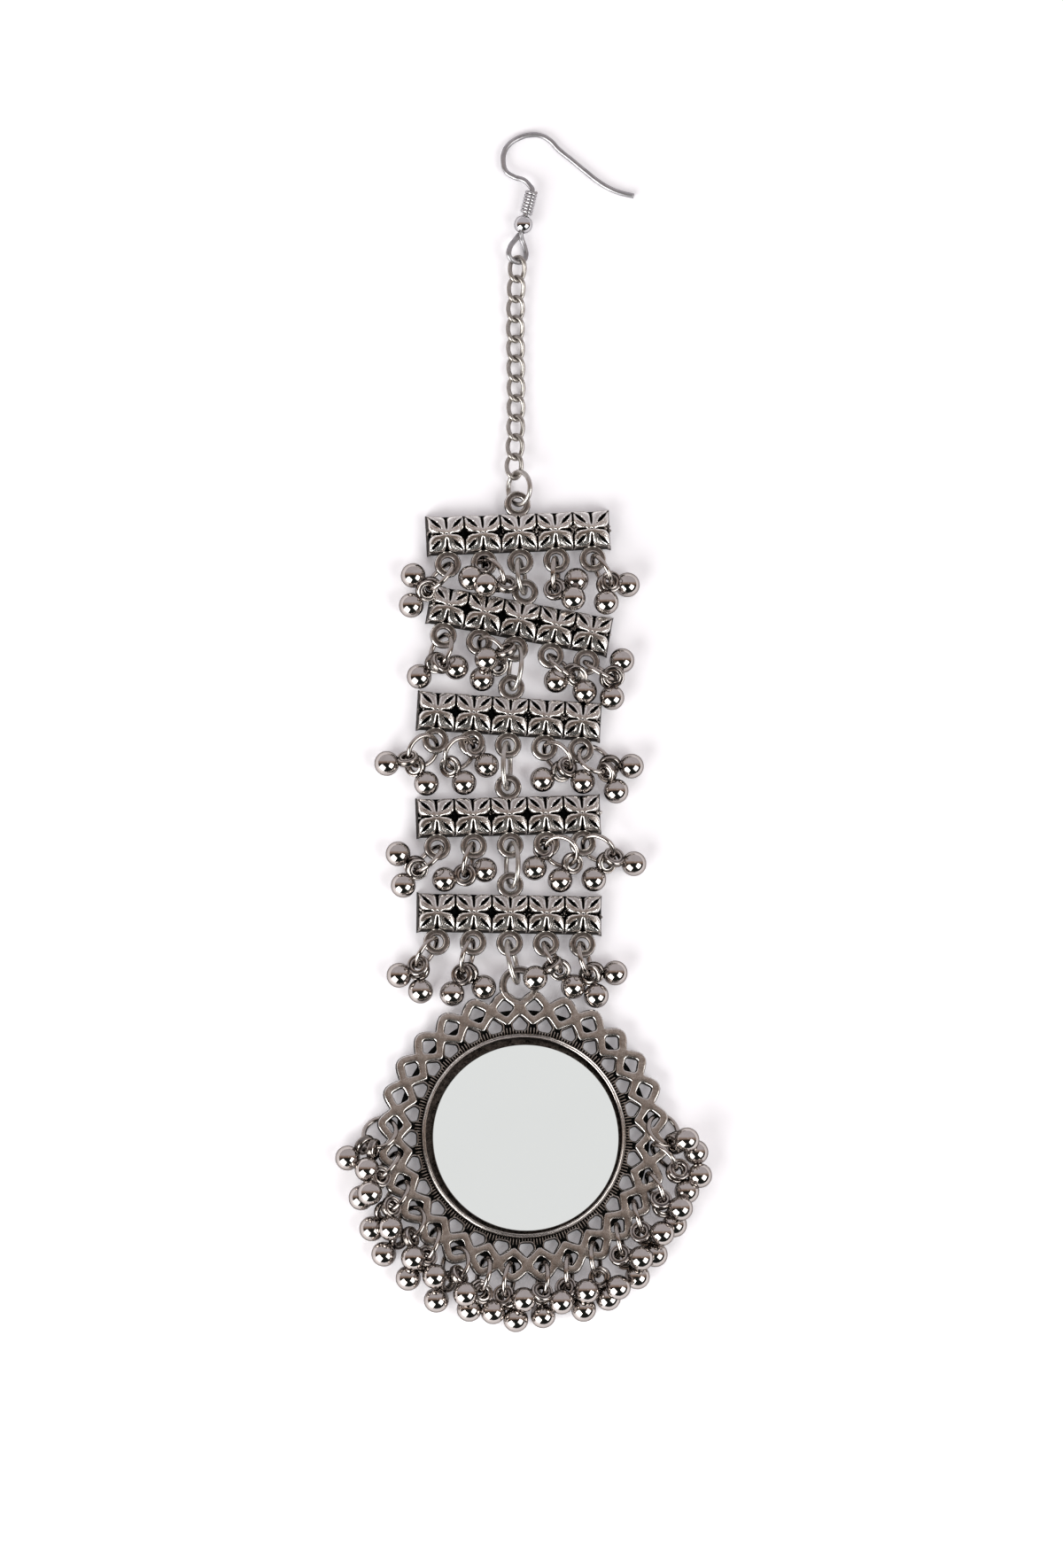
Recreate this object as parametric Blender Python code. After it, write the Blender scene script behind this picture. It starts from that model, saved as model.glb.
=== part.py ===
"""A maang tikka: a hair hook, a curb chain, five flower bars and a round mirror, all hung with ghungroo balls.

The jewel lies face up on a table.  +Y runs towards the hook and +Z up, and the origin is the centre of
the mirror frame's flat back.
"""
import math

import bmesh
import bpy
from mathutils import Matrix, Vector
from mathutils.geometry import delaunay_2d_cdt

MM = 0.001
UP = Vector((0, 0, 1))
TRIANGLES_INSIDE = 1
CAP_GRAIN = 1e-5

# Clearances
TABLE_GAP = 0.03 * MM
CLEAR = 0.15 * MM
MIRROR_CLEAR = 0.3 * MM

# Round findings: jump rings, ghungroo balls and the facets that they are meshed with
RING_ACROSS = 6.0 * MM
JOIN_PLAY = -0.12 * MM
WIRE = 0.7 * MM
BALL = 4.0 * MM
AROUND = 10
WIRE_SIDES = 5

# Flower bars
FLOWERS = 5
FLOWER_PITCH = 5.87 * MM
BAR_ACROSS = 5.8 * MM
BAR_BACK = 0.1 * MM
BAR_SLAB = 2.4 * MM
BAR_NOTCH = 0.35 * MM
PETAL_RISE = 0.8 * MM
PETAL_WIDTH = 2.0 * MM
PETAL_WAIST = 0.54
FLOWER_EYE = 0.45 * MM

# The lugs and loops that the rings pass through, all at one height over the table
LUG_ACROSS = 4.3 * MM
LUG_HOLE = 2.4 * MM
LUG_THICK = 0.8 * MM
LUG_HEIGHT = 1.9 * MM
LUG_DROP = 4.85 * MM
LOOP_RISE = 4.5 * MM
LUG_SIDES = 8

# Mirror frame
MIRROR_ACROSS = 30.0 * MM
MIRROR_THICK = 1.5 * MM
MIRROR_SHIFT = (0.3 * MM, -0.3 * MM)
BEZEL_WALL = 0.65 * MM
BEZEL_PLAY = 0.75 * MM
BEZEL_TOP = 3.3 * MM
CUP_FLOOR = 1.0 * MM
LATTICE_THICK = 1.0 * MM
LATTICE_LOW = LUG_HEIGHT - LATTICE_THICK / 2
DIAMONDS = 28
FRAME_TURN = 1.7
TIP_RADIUS = 23.4 * MM
DIAMOND_RADIUS = 20.8 * MM
DIAMOND_ACROSS = 2.8 * MM
WINDOW_RADIUS = 18.1 * MM
WINDOW_ACROSS = 2.2 * MM
TIP_DEPTH = 1.5 * MM
FRAME_LOOP_ACROSS = 6.4 * MM
FRAME_LOOP_HOLE = 4.0 * MM
FRAME_LOOP_REACH = 24.2 * MM
FRAME_LOOP_PLAY = 0.7 * MM
FIRST_HOLE = 175.3
FRINGE_FIRST = 187.3
FRINGE_STEP = 11.05
FRINGE_AIM = 26.2 * MM

# Curb chain
LINKS = 11
LINK_PITCH = 3.24 * MM
LINK_ACROSS = 3.0 * MM
LINK_WIRE = 0.65 * MM
LINK_TWIST = 0.42 * MM
LINK_PLAY = 0.04 * MM
CHAIN_SWAY = 0.2 * MM
CHAIN_DRIFT = 0.7 * MM
CHAIN_RING_WAY = 95.0
CHAIN_HEIGHT = 0.8 * MM
LIFTED_LINKS = 3

# Hair hook
HOOK_WIRE = 0.7 * MM
HOOK_SIDES = 5
COIL_ACROSS = 2.05 * MM
COIL_LONG = 4.2 * MM
BEAD_ACROSS = 3.0 * MM
STEM_BORE = HOOK_WIRE + 2 * CLEAR
STEM_HEIGHT = BEAD_ACROSS / 2 + 0.05 * MM
LOOP_TILT = 0.7

# Surfaces
OLD_SILVER = ("old_silver", (0.42, 0.39, 0.37), 0.42)
BRIGHT_SILVER = ("bright_silver", (0.72, 0.71, 0.70), 0.22)
SATIN_SILVER = ("satin_silver", (0.62, 0.59, 0.56), 0.32)
BALL_SILVER = ("ball_silver", (0.66, 0.63, 0.61), 0.12)
MIRROR_GLASS = ("mirror_glass", (0.85, 0.86, 0.86), 0.03)

# How the jewel hangs together, from the mirror up: each bar's turn, then the ring below it: the distance
# between the two holes as a share of a jump ring, the way it leads in degrees from straight up, its lean
BARS = (
    # name, turn, distance, way, lean
    ("bar_5", -0.5, 1.17, 12.5, 36),
    ("bar_4", 2.1, 1.08, 0.0, -36),
    ("bar_3", -3.2, 1.14, 0.0, 36),
    ("bar_2", -10.0, 1.06, -5.3, -36),
    ("bar_1", 2.9, 0.84, 8.7, 36),
)

# Each bar's drops: the lug, the ring's way from straight down and its lean in degrees, then where the two
# balls lie: shares of a ball's size to the right of the lug's middle, above it and over the table
BAR_DROPS = (
    # bar, lug, way, lean, ball 1 x, y, lift, ball 2 x, y, lift
    ("bar_1", 1, -40, 27, -1.36, -0.50, 0, -1.57, -1.78, 0),
    ("bar_1", 2, 27, 50, 0.30, -0.96, 0.58, -0.80, -0.90, 0.60),
    ("bar_1", 4, 0, -30, 0.80, -0.80, 0, 0.62, -1.62, 0.6),
    ("bar_1", 5, 30, 15, 0.52, -1.80, 0.3, 1.40, -1.04, 0),
    ("bar_2", 1, -20, 15, -0.88, -1.60, 0, 0.52, -1.29, 0),
    ("bar_2", 2, 45, 50, 0.11, -1.50, 0, 0.39, -0.70, 0.6),
    ("bar_2", 4, 50, -24, 0.30, -1.0, 0, 1.29, -1.33, 0),
    ("bar_2", 5, 60, -15, 1.44, 0.08, 0, 1.03, -1.43, 0),
    ("bar_3", 1, -45, -50, -1.96, -0.96, 0, -0.36, -1.75, 0),
    ("bar_3", 2, -45, -50, -0.31, -1.62, 0, 0.66, -0.99, 0),
    ("bar_3", 4, 45, 50, -0.22, -1.36, 0, 1.55, -1.36, 0),
    ("bar_3", 5, 60, -50, 2.05, -0.63, 0, 1.43, -1.65, 0),
    ("bar_4", 1, -45, 30, -1.58, -0.29, 0, -1.37, -1.56, 0),
    ("bar_4", 2, -15, -15, -1.18, -1.36, 0, 0.44, -0.96, 0),
    ("bar_4", 4, 60, 50, -0.52, -1.03, 0, 0.55, -1.45, 0),
    ("bar_4", 5, 60, 36, 0.41, -1.49, 0, 2.06, -0.81, 0),
    ("bar_5", 1, -35, -36, -1.51, -1.36, 0, -0.63, -2.21, 0),
    ("bar_5", 2, -15, -50, -0.86, -2.10, 0, 0.43, -1.80, 0),
    ("bar_5", 4, 30, -30, -0.50, -1.45, 0.70, 1.09, -1.71, 0),
    ("bar_5", 5, 15, -50, 0.55, -2.06, 0, 1.36, -1.14, 0),
)

# The frame's drops, from the left round below to the right: the ring's lean in degrees, then each ball's
# distance from the frame's middle as a share of the tips' radius, its turn along the fringe in degrees,
# and its lift over the table as a share of its size
FRAME_DROP_ROWS = (
    # lean, ball 1 out, turn, lift, ball 2 out, turn, lift
    (30, 1.26, -0.6, 0, 1.21, 6.2, 0.6),
    (12, 1.30, 0.0, 0, 1.21, 5.6, 0.55),
    (12, 1.31, 0.0, 0, 1.21, 5.6, 0.55),
    (12, 1.32, 0.0, 0, 1.21, 5.5, 0.55),
    (12, 1.31, 0.2, 0, 1.21, 5.6, 0.55),
    (12, 1.32, 0.0, 0, 1.21, 5.4, 0.55),
    (12, 1.30, -0.2, 0, 1.21, 5.3, 0.55),
    (-12, 1.31, 0.0, 0, 1.21, 5.5, 0.55),
    (12, 1.33, 0.2, 0, 1.21, 5.6, 0.55),
    (-12, 1.31, 0.0, 0, 1.21, 5.5, 0.55),
    (-12, 1.32, 0.1, 0, 1.21, 5.4, 0.55),
    (-12, 1.32, -0.2, 0, 1.21, 5.3, 0.55),
    (-12, 1.30, 0.0, 0, 1.21, 5.5, 0.55),
    (12, 1.31, 0.2, 0, 1.21, 5.6, 0.55),
    (12, 1.29, 0.0, 0, 1.21, 5.6, 0.55),
    (-24, 1.28, 0.0, 0, 1.20, 6.5, 0.6),
)

# The hook's wire seen from above, in millimetres from the middle of its loop's lower end
HOOK_LOOP_START = ((0.35, 4.55), (-0.35, 3.6), (-1.2, 2.3), (-1.35, 0.8), (0.0, 0.0))
HOOK_LOOP_END = ((0.95, 0.25), (1.5, 1.3), (1.3, 2.6), (0.85, 3.7))
HOOK_BEAD = (1.0, 6.2)
HOOK_WAY = -14.0
HOOK_CROOK = (
    (2.1, 12.45), (1.1, 13.3), (-0.6, 13.85), (-1.9, 14.7), (-2.4, 16.1), (-2.2, 17.7), (-1.4, 19.0),
    (0.0, 19.95), (1.8, 20.5), (3.6, 20.55), (5.1, 19.85), (6.5, 18.25), (8.5, 16.65), (10.7, 14.8),
    (13.0, 13.0), (14.7, 12.0), (16.6, 11.3), (18.7, 10.7),
)
CROOK_SETTLED = 8


def clear_scene():
    """Empties the file before the jewel is made."""
    for item in list(bpy.data.objects):
        bpy.data.objects.remove(item, do_unlink=True)


def surface(spec):
    """A plain metal or glass surface, made once and then shared."""
    name, colour, roughness = spec
    material = bpy.data.materials.get(name)
    if material is None:
        material = bpy.data.materials.new(name)
        material.use_nodes = True
        shader = material.node_tree.nodes["Principled BSDF"]
        shader.inputs["Base Color"].default_value = (*colour, 1)
        shader.inputs["Metallic"].default_value = 1
        shader.inputs["Roughness"].default_value = roughness
    return material


def mesh_from(bm, name):
    """Closes a bmesh into a mesh whose faces point outwards."""
    bmesh.ops.recalc_face_normals(bm, faces=bm.faces)
    mesh = bpy.data.meshes.new(name)
    bm.to_mesh(mesh)
    bm.free()
    return mesh


def place(name, mesh, spec, matrix=Matrix()):
    """Puts a mesh into the scene as a piece of the jewel."""
    if not mesh.materials:
        mesh.materials.append(surface(spec))
    piece = bpy.data.objects.new(name, mesh)
    piece.matrix_world = matrix
    bpy.context.scene.collection.objects.link(piece)
    return piece


def united(name, first, second):
    """The mesh of two closed shapes soldered together."""
    body = bpy.data.objects.new(name, first)
    tool = bpy.data.objects.new(name + "_joined", second)
    for item in (body, tool):
        bpy.context.scene.collection.objects.link(item)
    tool.hide_render = True
    tool.display_type = "WIRE"
    union = body.modifiers.new("Union", "BOOLEAN")
    union.operation = "UNION"
    union.solver = "EXACT"
    union.object = tool
    bpy.context.view_layer.update()
    solid = body.evaluated_get(bpy.context.evaluated_depsgraph_get())
    mesh = bpy.data.meshes.new_from_object(solid)
    for item in (body, tool):
        bpy.data.objects.remove(item, do_unlink=True)
    return mesh


def circle(radius, sides, centre=(0, 0), turn=0.0):
    """Points round a circle, as (x, y)."""
    steps = [turn + math.tau * step / sides for step in range(sides)]
    return [(centre[0] + radius * math.cos(a), centre[1] + radius * math.sin(a)) for a in steps]


def round_hole(across, sides):
    """The corners' radius of a faceted hole that a round pin of the given size still passes."""
    return across / 2 / math.cos(math.pi / sides)


def loop(bm, outline, height):
    """A closed row of points at one height."""
    return [bm.verts.new((x, y, height)) for x, y in outline]


def band(bm, low, high):
    """Joins two rows of as many points with a closed wall."""
    for index, point in enumerate(low):
        after = (index + 1) % len(low)
        bm.faces.new((point, low[after], high[after], high[index]))


def encloses(row, spot):
    """Whether a closed row of points runs round a spot."""
    inside = False
    for index, point in enumerate(row):
        (x, y), (last_x, last_y) = point.co.to_2d(), row[index - 1].co.to_2d()
        if (y > spot.y) != (last_y > spot.y) and spot.x < x + (spot.y - y) * (last_x - x) / (last_y - y):
            inside = not inside
    return inside


def cap(bm, outline, holes=()):
    """Fills an outline, round the holes in it."""
    points, edges = [], []
    for row in (outline, *holes):
        first = len(points)
        points += row
        edges += [(first + step, first + (step + 1) % len(row)) for step in range(len(row))]
    flat = [point.co.to_2d() / MM for point in points]
    filled = delaunay_2d_cdt(flat, edges, [], TRIANGLES_INSIDE, CAP_GRAIN)
    for triangle in filled[2]:
        corners = [points[filled[3][index][0]] for index in triangle]
        middle = sum((corner.co for corner in corners), Vector()) / 3
        if not any(encloses(hole, middle) for hole in holes):
            bm.faces.new(corners)


def plate(bm, outline, holes, low, high):
    """A flat plate with holes cut through it."""
    faces = []
    for height in (low, high):
        rows = [loop(bm, row, height) for row in (outline, *holes)]
        cap(bm, rows[0], rows[1:])
        faces.append(rows)
    for under, over in zip(*faces):
        band(bm, under, over)


def sweep(bm, route, radius, sides, side_ways, closed):
    """A round wire along a route; `side_ways` is a direction that the route never takes."""
    count = len(route)
    rows = []
    for index, point in enumerate(route):
        before = route[index - 1] if closed or index else point
        after = route[(index + 1) % count] if closed or index < count - 1 else point
        along = (after - before).normalized()
        normal = (side_ways - along * side_ways.dot(along)).normalized()
        across = along.cross(normal)
        row = []
        for corner in range(sides):
            angle = math.tau * corner / sides
            row.append(bm.verts.new(point + (normal * math.cos(angle) + across * math.sin(angle)) * radius))
        rows.append(row)
    for low, high in zip(rows, rows[1:]):
        band(bm, low, high)
    if closed:
        band(bm, rows[-1], rows[0])
    else:
        bm.faces.new(rows[0])
        bm.faces.new(rows[-1])


def turned(bm, profile, sides):
    """A bored round piece on the Z axis, from a closed profile of (radius, height)."""
    rows = [loop(bm, circle(radius, sides), height) for radius, height in profile]
    for low, high in zip(rows, rows[1:] + rows[:1]):
        band(bm, low, high)


class StandingRing:
    """A jump ring that stands on the table, leaning, and passes through a hole in a lug."""

    def __init__(self, hole, way, lean, across=RING_ACROSS):
        self.radius = (across - WIRE) / 2
        self.along = Vector((math.cos(way), math.sin(way), 0))
        aside = Vector((-math.sin(way), math.cos(way), 0))
        self.upright = UP * math.cos(lean) + aside * math.sin(lean)
        rise = self.radius * math.cos(lean)
        height = rise + WIRE / 2 + TABLE_GAP
        below = (height - hole.z) / rise
        self.half_chord = self.radius * math.sqrt(1 - below * below)
        self.centre = hole + self.along * self.half_chord + self.upright * self.radius * below

    def point(self, angle):
        """The wire's middle, by its angle round the ring from the far end."""
        return self.centre + (self.along * math.cos(angle) + self.upright * math.sin(angle)) * self.radius

    def route(self, count=AROUND):
        """Points along the wire's middle."""
        return [self.point(math.tau * (step + 0.5) / count) for step in range(count)]

    def add(self, bm):
        """Adds the ring's wire to a mesh."""
        sweep(bm, self.route(), WIRE / 2, WIRE_SIDES, self.along.cross(self.upright), True)


def hang_point(ring, ball, taken):
    """The middle of the ring's free stretch of wire that is nearest to a ball, where its eyelet hangs."""
    corners = ring.route()
    middles = [(first + second) / 2 for first, second in zip(corners, corners[1:] + corners[:1])]
    free = [middle for middle in middles if middle not in taken]
    return min(free, key=lambda middle: (middle - ball).length)


def add_ball(bm, centre, facing):
    """A ball of three rings of points between its poles, with a face turned to `facing`."""
    ball = bmesh.ops.create_uvsphere(bm, u_segments=AROUND, v_segments=4, radius=BALL / 2)
    face_way = Vector((math.cos(math.pi / AROUND), math.sin(math.pi / AROUND), math.tan(math.pi / 8)))
    turn = face_way.rotation_difference(facing).to_matrix().to_4x4()
    bmesh.ops.transform(bm, matrix=Matrix.Translation(centre) @ turn, verts=ball["verts"])
    return {face for point in ball["verts"] for face in point.link_faces}


def nearest_face(faces, point):
    """The four-sided face whose middle is nearest to a point."""
    return min((face for face in faces if len(face.verts) == 4),
               key=lambda face: (face.calc_center_median() - point).length)


def join_faces(bm, first, second):
    """Opens two faces and joins their edges with a short neck."""
    edges = [*first.edges, *second.edges]
    bmesh.ops.delete(bm, geom=[first, second], context="FACES_ONLY")
    bmesh.ops.bridge_loops(bm, edges=edges)


def add_drop(bm, ring, ball, taken):
    """A ball, with the neck that carries it on the ring's wire; gives the place of the neck."""
    wire = hang_point(ring, ball, taken)
    pull = (ball - wire).normalized()
    ring_end = nearest_face(bm.faces, wire + pull * WIRE / 2)
    ball_end = nearest_face(add_ball(bm, ball, -pull), ball - pull * BALL / 2)
    join_faces(bm, ring_end, ball_end)
    return wire


def drop_pair(name, hole, way, lean, balls):
    """A jump ring in a lug with two balls on it, the nearer one first, one body."""
    bm = bmesh.new()
    ring = StandingRing(hole, math.radians(way), math.radians(lean))
    ring.add(bm)
    middles = [Vector((x, y, BALL / 2 + TABLE_GAP + lift)) for x, y, lift in balls]
    taken = []
    for ball in sorted(middles, key=lambda middle: (middle - ring.centre).length):
        taken.append(add_drop(bm, ring, ball, taken))
    return place(name, mesh_from(bm, name), BALL_SILVER)


def joining_ring(name, lower, upper, lean, lower_play):
    """A jump ring between two holes, drawn nearly tight against both."""
    span = upper - lower
    way = math.atan2(span.y, span.x)
    lean = math.radians(lean)
    drawn = (span.length - lower_play - JOIN_PLAY / 2) / 2
    level = (WIRE / 2 + TABLE_GAP - lower.z) / math.cos(lean)
    radius = (drawn * drawn + level * level) / (-2 * level)
    bm = bmesh.new()
    start = lower + span.normalized() * lower_play
    StandingRing(start, way, lean, 2 * radius + WIRE).add(bm)
    place(name, mesh_from(bm, name), SATIN_SILVER)


def flower_relief(bm, outline, middle):
    """Four pointed petals, raised over a bar's face inside their outline."""
    eye = bm.verts.new((*middle, BAR_BACK + BAR_SLAB + PETAL_RISE / 2))
    for petal in range(4):
        corners = [outline[(petal * 4 + step) % 16] for step in range(5)]
        crest_at = sum((corners[step].co for step in (1, 3)), Vector()) / 2
        crest = bm.verts.new(crest_at + UP * PETAL_RISE)
        for first, second in zip(corners, corners[1:]):
            bm.faces.new((first, second, crest))
        bm.faces.new((corners[4], eye, crest))
        bm.faces.new((eye, corners[0], crest))


def flower_outline(middle):
    """The edge of one flower: for each petal its root, a side, its tip and the other side."""
    tip_x, tip_y = FLOWER_PITCH / 2 - CLEAR, BAR_ACROSS / 2 - CLEAR
    half = PETAL_WIDTH / 2 * math.sqrt(0.5)
    side_x, side_y = tip_x * PETAL_WAIST, tip_y * PETAL_WAIST
    right = [(FLOWER_EYE, 0), (side_x + half, side_y - half), (tip_x, tip_y), (side_x - half, side_y + half)]
    left = [(0, FLOWER_EYE)] + [(-x, y) for x, y in right[:0:-1]]
    upper = right + left
    return [(x + middle[0], y + middle[1]) for x, y in upper + [(-x, -y) for x, y in upper]]


def flower_places():
    """The flowers' middles along a bar."""
    return [((index - (FLOWERS - 1) / 2) * FLOWER_PITCH, 0) for index in range(FLOWERS)]


def bar_outline():
    """A bar's edge: the petals' tips, with a notch over and under each flower."""
    notch = BAR_ACROSS / 2 - BAR_NOTCH
    upper = [(-FLOWERS * FLOWER_PITCH / 2, BAR_ACROSS / 2)]
    for x, _ in flower_places():
        upper += [(x, notch), (x + FLOWER_PITCH / 2, BAR_ACROSS / 2)]
    return upper + [(-x, -y) for x, y in (upper[0], upper[-1])]


def bar_mesh():
    """One casting: the slab, its raised flowers, the loop above and the lugs below."""
    bm = bmesh.new()
    top = BAR_BACK + BAR_SLAB
    under = loop(bm, bar_outline(), BAR_BACK)
    over = loop(bm, bar_outline(), top)
    band(bm, under, over)
    cap(bm, under)
    flowers = [loop(bm, flower_outline(middle), top) for middle in flower_places()]
    cap(bm, over, flowers)
    for outline, middle in zip(flowers, flower_places()):
        flower_relief(bm, outline, middle)
    slab = mesh_from(bm, "bar_slab")
    bm = bmesh.new()
    places = [(x, -LUG_DROP) for x, _ in flower_places()] + [(0, LOOP_RISE)]
    for centre in places:
        outline = circle(LUG_ACROSS / 2, LUG_SIDES, centre, math.pi / 2)
        hole = circle(round_hole(LUG_HOLE, LUG_SIDES), LUG_SIDES, centre, math.pi / 2)
        plate(bm, outline, [hole], LUG_HEIGHT - LUG_THICK / 2, LUG_HEIGHT + LUG_THICK / 2)
    return united("bar", slab, mesh_from(bm, "bar_lugs"))


def make_bars(below):
    """Hangs the bars from the mirror frame's loop upwards, with their rings; gives the last loop."""
    mesh = bar_mesh()
    lugs = {}
    for name, turn, distance, way, lean in BARS:
        lead = math.radians(90 + way)
        step = Vector((math.cos(lead), math.sin(lead), 0)) * distance * RING_ACROSS
        spin = Matrix.Rotation(math.radians(turn), 4, "Z")
        matrix = Matrix.Translation(below + step - UP * LUG_HEIGHT) @ spin @ Matrix.Translation((0, LUG_DROP, 0))
        place(name, mesh, OLD_SILVER, matrix)
        if name == "bar_5":
            joining_ring("frame_ring", below, below + step, lean, FRAME_LOOP_PLAY)
        else:
            joining_ring(f"ring_under_{name}", below, below + step, lean, JOIN_PLAY / 2)
        for number, (x, _) in enumerate(flower_places(), 1):
            lugs[name, number] = matrix @ Vector((x, -LUG_DROP, LUG_HEIGHT))
        below = matrix @ Vector((0, LOOP_RISE, LUG_HEIGHT))
    return lugs, below


def make_bar_drops(lugs):
    """The balls on the bars' outer lugs."""
    for bar, lug, way, lean, *shares in BAR_DROPS:
        hole = lugs[bar, lug]
        shifts = [[share * BALL for share in shares[at:at + 3]] for at in (0, 3)]
        balls = [(hole.x + right, hole.y + up, lift) for right, up, lift in shifts]
        drop_pair(f"{bar}_drops_{lug}", hole, way - 90, lean, balls)


def lattice_loops(bm, height):
    """The lattice's rows of points at one height: its inner edge, its outer edge and its openings."""
    half_pitch = math.pi / DIAMONDS
    start = math.radians(90 + FRAME_TURN)
    bezel = MIRROR_ACROSS / 2 + BEZEL_PLAY + BEZEL_WALL
    rows = [circle(bezel, DIAMONDS, turn=start), []]
    half = DIAMOND_ACROSS / 2
    for index in range(DIAMONDS):
        spot = start + half_pitch * (2 * index + 1)
        rows[1] += [polar(TIP_RADIUS - TIP_DEPTH, spot - half_pitch), polar(TIP_RADIUS, spot)]
        rows.append([polar(DIAMOND_RADIUS + out, spot + side / DIAMOND_RADIUS)
                     for out, side in ((half, 0), (0, half), (-half, 0), (0, -half))])
        window = WINDOW_ACROSS / 2
        rows.append([polar(WINDOW_RADIUS + out, spot + half_pitch + side / WINDOW_RADIUS)
                     for out, side in ((window, 0), (-window * 0.7, window), (-window * 0.7, -window))])
    return [loop(bm, row, height) for row in rows]


def polar(radius, angle):
    """A point by its distance and direction from the frame's middle."""
    return (radius * math.cos(angle), radius * math.sin(angle))


def frame_mesh():
    """The pierced frame, with its cup, bezel and loop in one casting."""
    bm = bmesh.new()
    low = lattice_loops(bm, LATTICE_LOW)
    high = lattice_loops(bm, LATTICE_LOW + LATTICE_THICK)
    for rows in (low, high):
        cap(bm, rows[1], [rows[0], *rows[2:]])
    for under, over in zip(low[1:], high[1:]):
        band(bm, under, over)
    start = math.radians(90 + FRAME_TURN)
    inside = MIRROR_ACROSS / 2 + BEZEL_PLAY
    back, rim, inner, floor = [
        loop(bm, circle(radius, DIAMONDS, turn=start), height)
        for radius, height in ((inside + BEZEL_WALL, 0), (inside + BEZEL_WALL, BEZEL_TOP),
                               (inside, BEZEL_TOP), (inside, CUP_FLOOR))]
    for under, over in ((back, low[0]), (high[0], rim), (rim, inner), (inner, floor)):
        band(bm, under, over)
    cap(bm, back)
    cap(bm, floor)
    frame = mesh_from(bm, "frame_body")
    bm = bmesh.new()
    centre = polar(FRAME_LOOP_REACH, start)
    hole = circle(round_hole(FRAME_LOOP_HOLE, AROUND), AROUND, centre, start)
    plate(bm, circle(FRAME_LOOP_ACROSS / 2, AROUND, centre, start), [hole],
          LUG_HEIGHT - LUG_THICK / 2, LUG_HEIGHT + LUG_THICK / 2)
    return united("mirror_frame", frame, mesh_from(bm, "frame_loop"))


def make_mirror():
    """The round glass in its cup, a little off the middle."""
    bm = bmesh.new()
    outline = circle(MIRROR_ACROSS / 2, DIAMONDS, MIRROR_SHIFT, math.radians(90 + FRAME_TURN))
    low = CUP_FLOOR + MIRROR_CLEAR
    plate(bm, outline, [], low, low + MIRROR_THICK)
    place("mirror", mesh_from(bm, "mirror"), MIRROR_GLASS)


def make_frame_drops():
    """The fringe of balls round the lower half of the frame."""
    for index, (lean, *shares) in enumerate(FRAME_DROP_ROWS):
        hole_way = math.radians(FIRST_HOLE + index * 360 / DIAMONDS)
        hole = Vector((*polar(DIAMOND_RADIUS, hole_way), LUG_HEIGHT))
        start = FRINGE_FIRST + index * FRINGE_STEP
        balls = [(*polar(shares[at] * TIP_RADIUS, math.radians(start + shares[at + 1])), shares[at + 2] * BALL)
                 for at in (0, 3)]
        aim = polar(FRINGE_AIM, math.radians(start))
        way = math.atan2(aim[1] - hole.y, aim[0] - hole.x)
        drop_pair(f"frame_drops_{index + 1:02d}", hole, math.degrees(way), lean, balls)


def link_half_long():
    """Half the length of a link along its wire's middle: the next link lies just inside it."""
    return (LINK_PITCH + LINK_WIRE + LINK_PLAY) / 2


def add_link(bm, middle, along):
    """One twisted curb link; gives its faces."""
    half_wide = (LINK_ACROSS - LINK_WIRE) / 2
    across = along.cross(UP).normalized()
    above = across.cross(along)
    route = []
    for step in range(AROUND):
        angle = math.tau * step / AROUND
        route.append(middle + across * half_wide * math.cos(angle) + along * link_half_long() * math.sin(angle)
                     + above * LINK_TWIST * math.sin(2 * angle))
    before = set(bm.faces)
    sweep(bm, route, LINK_WIRE / 2, WIRE_SIDES, UP, True)
    return set(bm.faces) - before


def make_chain(ring):
    """The curb chain, from the ring up to the hook; gives the wire's middle at its last end."""
    held = WIRE / 2 + LINK_WIRE / 2 + CLEAR
    under = (LUG_HEIGHT - ring.centre.z) / ring.upright.z
    foot = ring.centre + ring.upright * under + ring.along * (math.sqrt(ring.radius ** 2 - under ** 2) - held)
    point = foot + ring.along * link_half_long()
    middles = []
    for index in range(LINKS + 1):
        below, above = [max(0.0, 1 - count / LIFTED_LINKS) for count in (index, LINKS - 1 - index)]
        height = CHAIN_HEIGHT + (LUG_HEIGHT - CHAIN_HEIGHT) * below
        height += (STEM_HEIGHT - CHAIN_HEIGHT) * min(1.0, above)
        sway = CHAIN_SWAY * math.sin(index / LINKS * math.tau) + CHAIN_DRIFT * index / LINKS
        middles.append(Vector((point.x + sway, point.y + index * LINK_PITCH, height)))
    bm = bmesh.new()
    last = set()
    for middle, after in zip(middles, middles[1:]):
        link = add_link(bm, middle, (after - middle).normalized())
        if last:
            touch = middle - (after - middle) / 2
            join_faces(bm, nearest_face(last, touch), nearest_face(link, touch))
        last = {face for face in link if face.is_valid}
    place("chain", mesh_from(bm, "chain"), SATIN_SILVER)
    return middles[LINKS - 1] + Vector((0, link_half_long(), 0))


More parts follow.
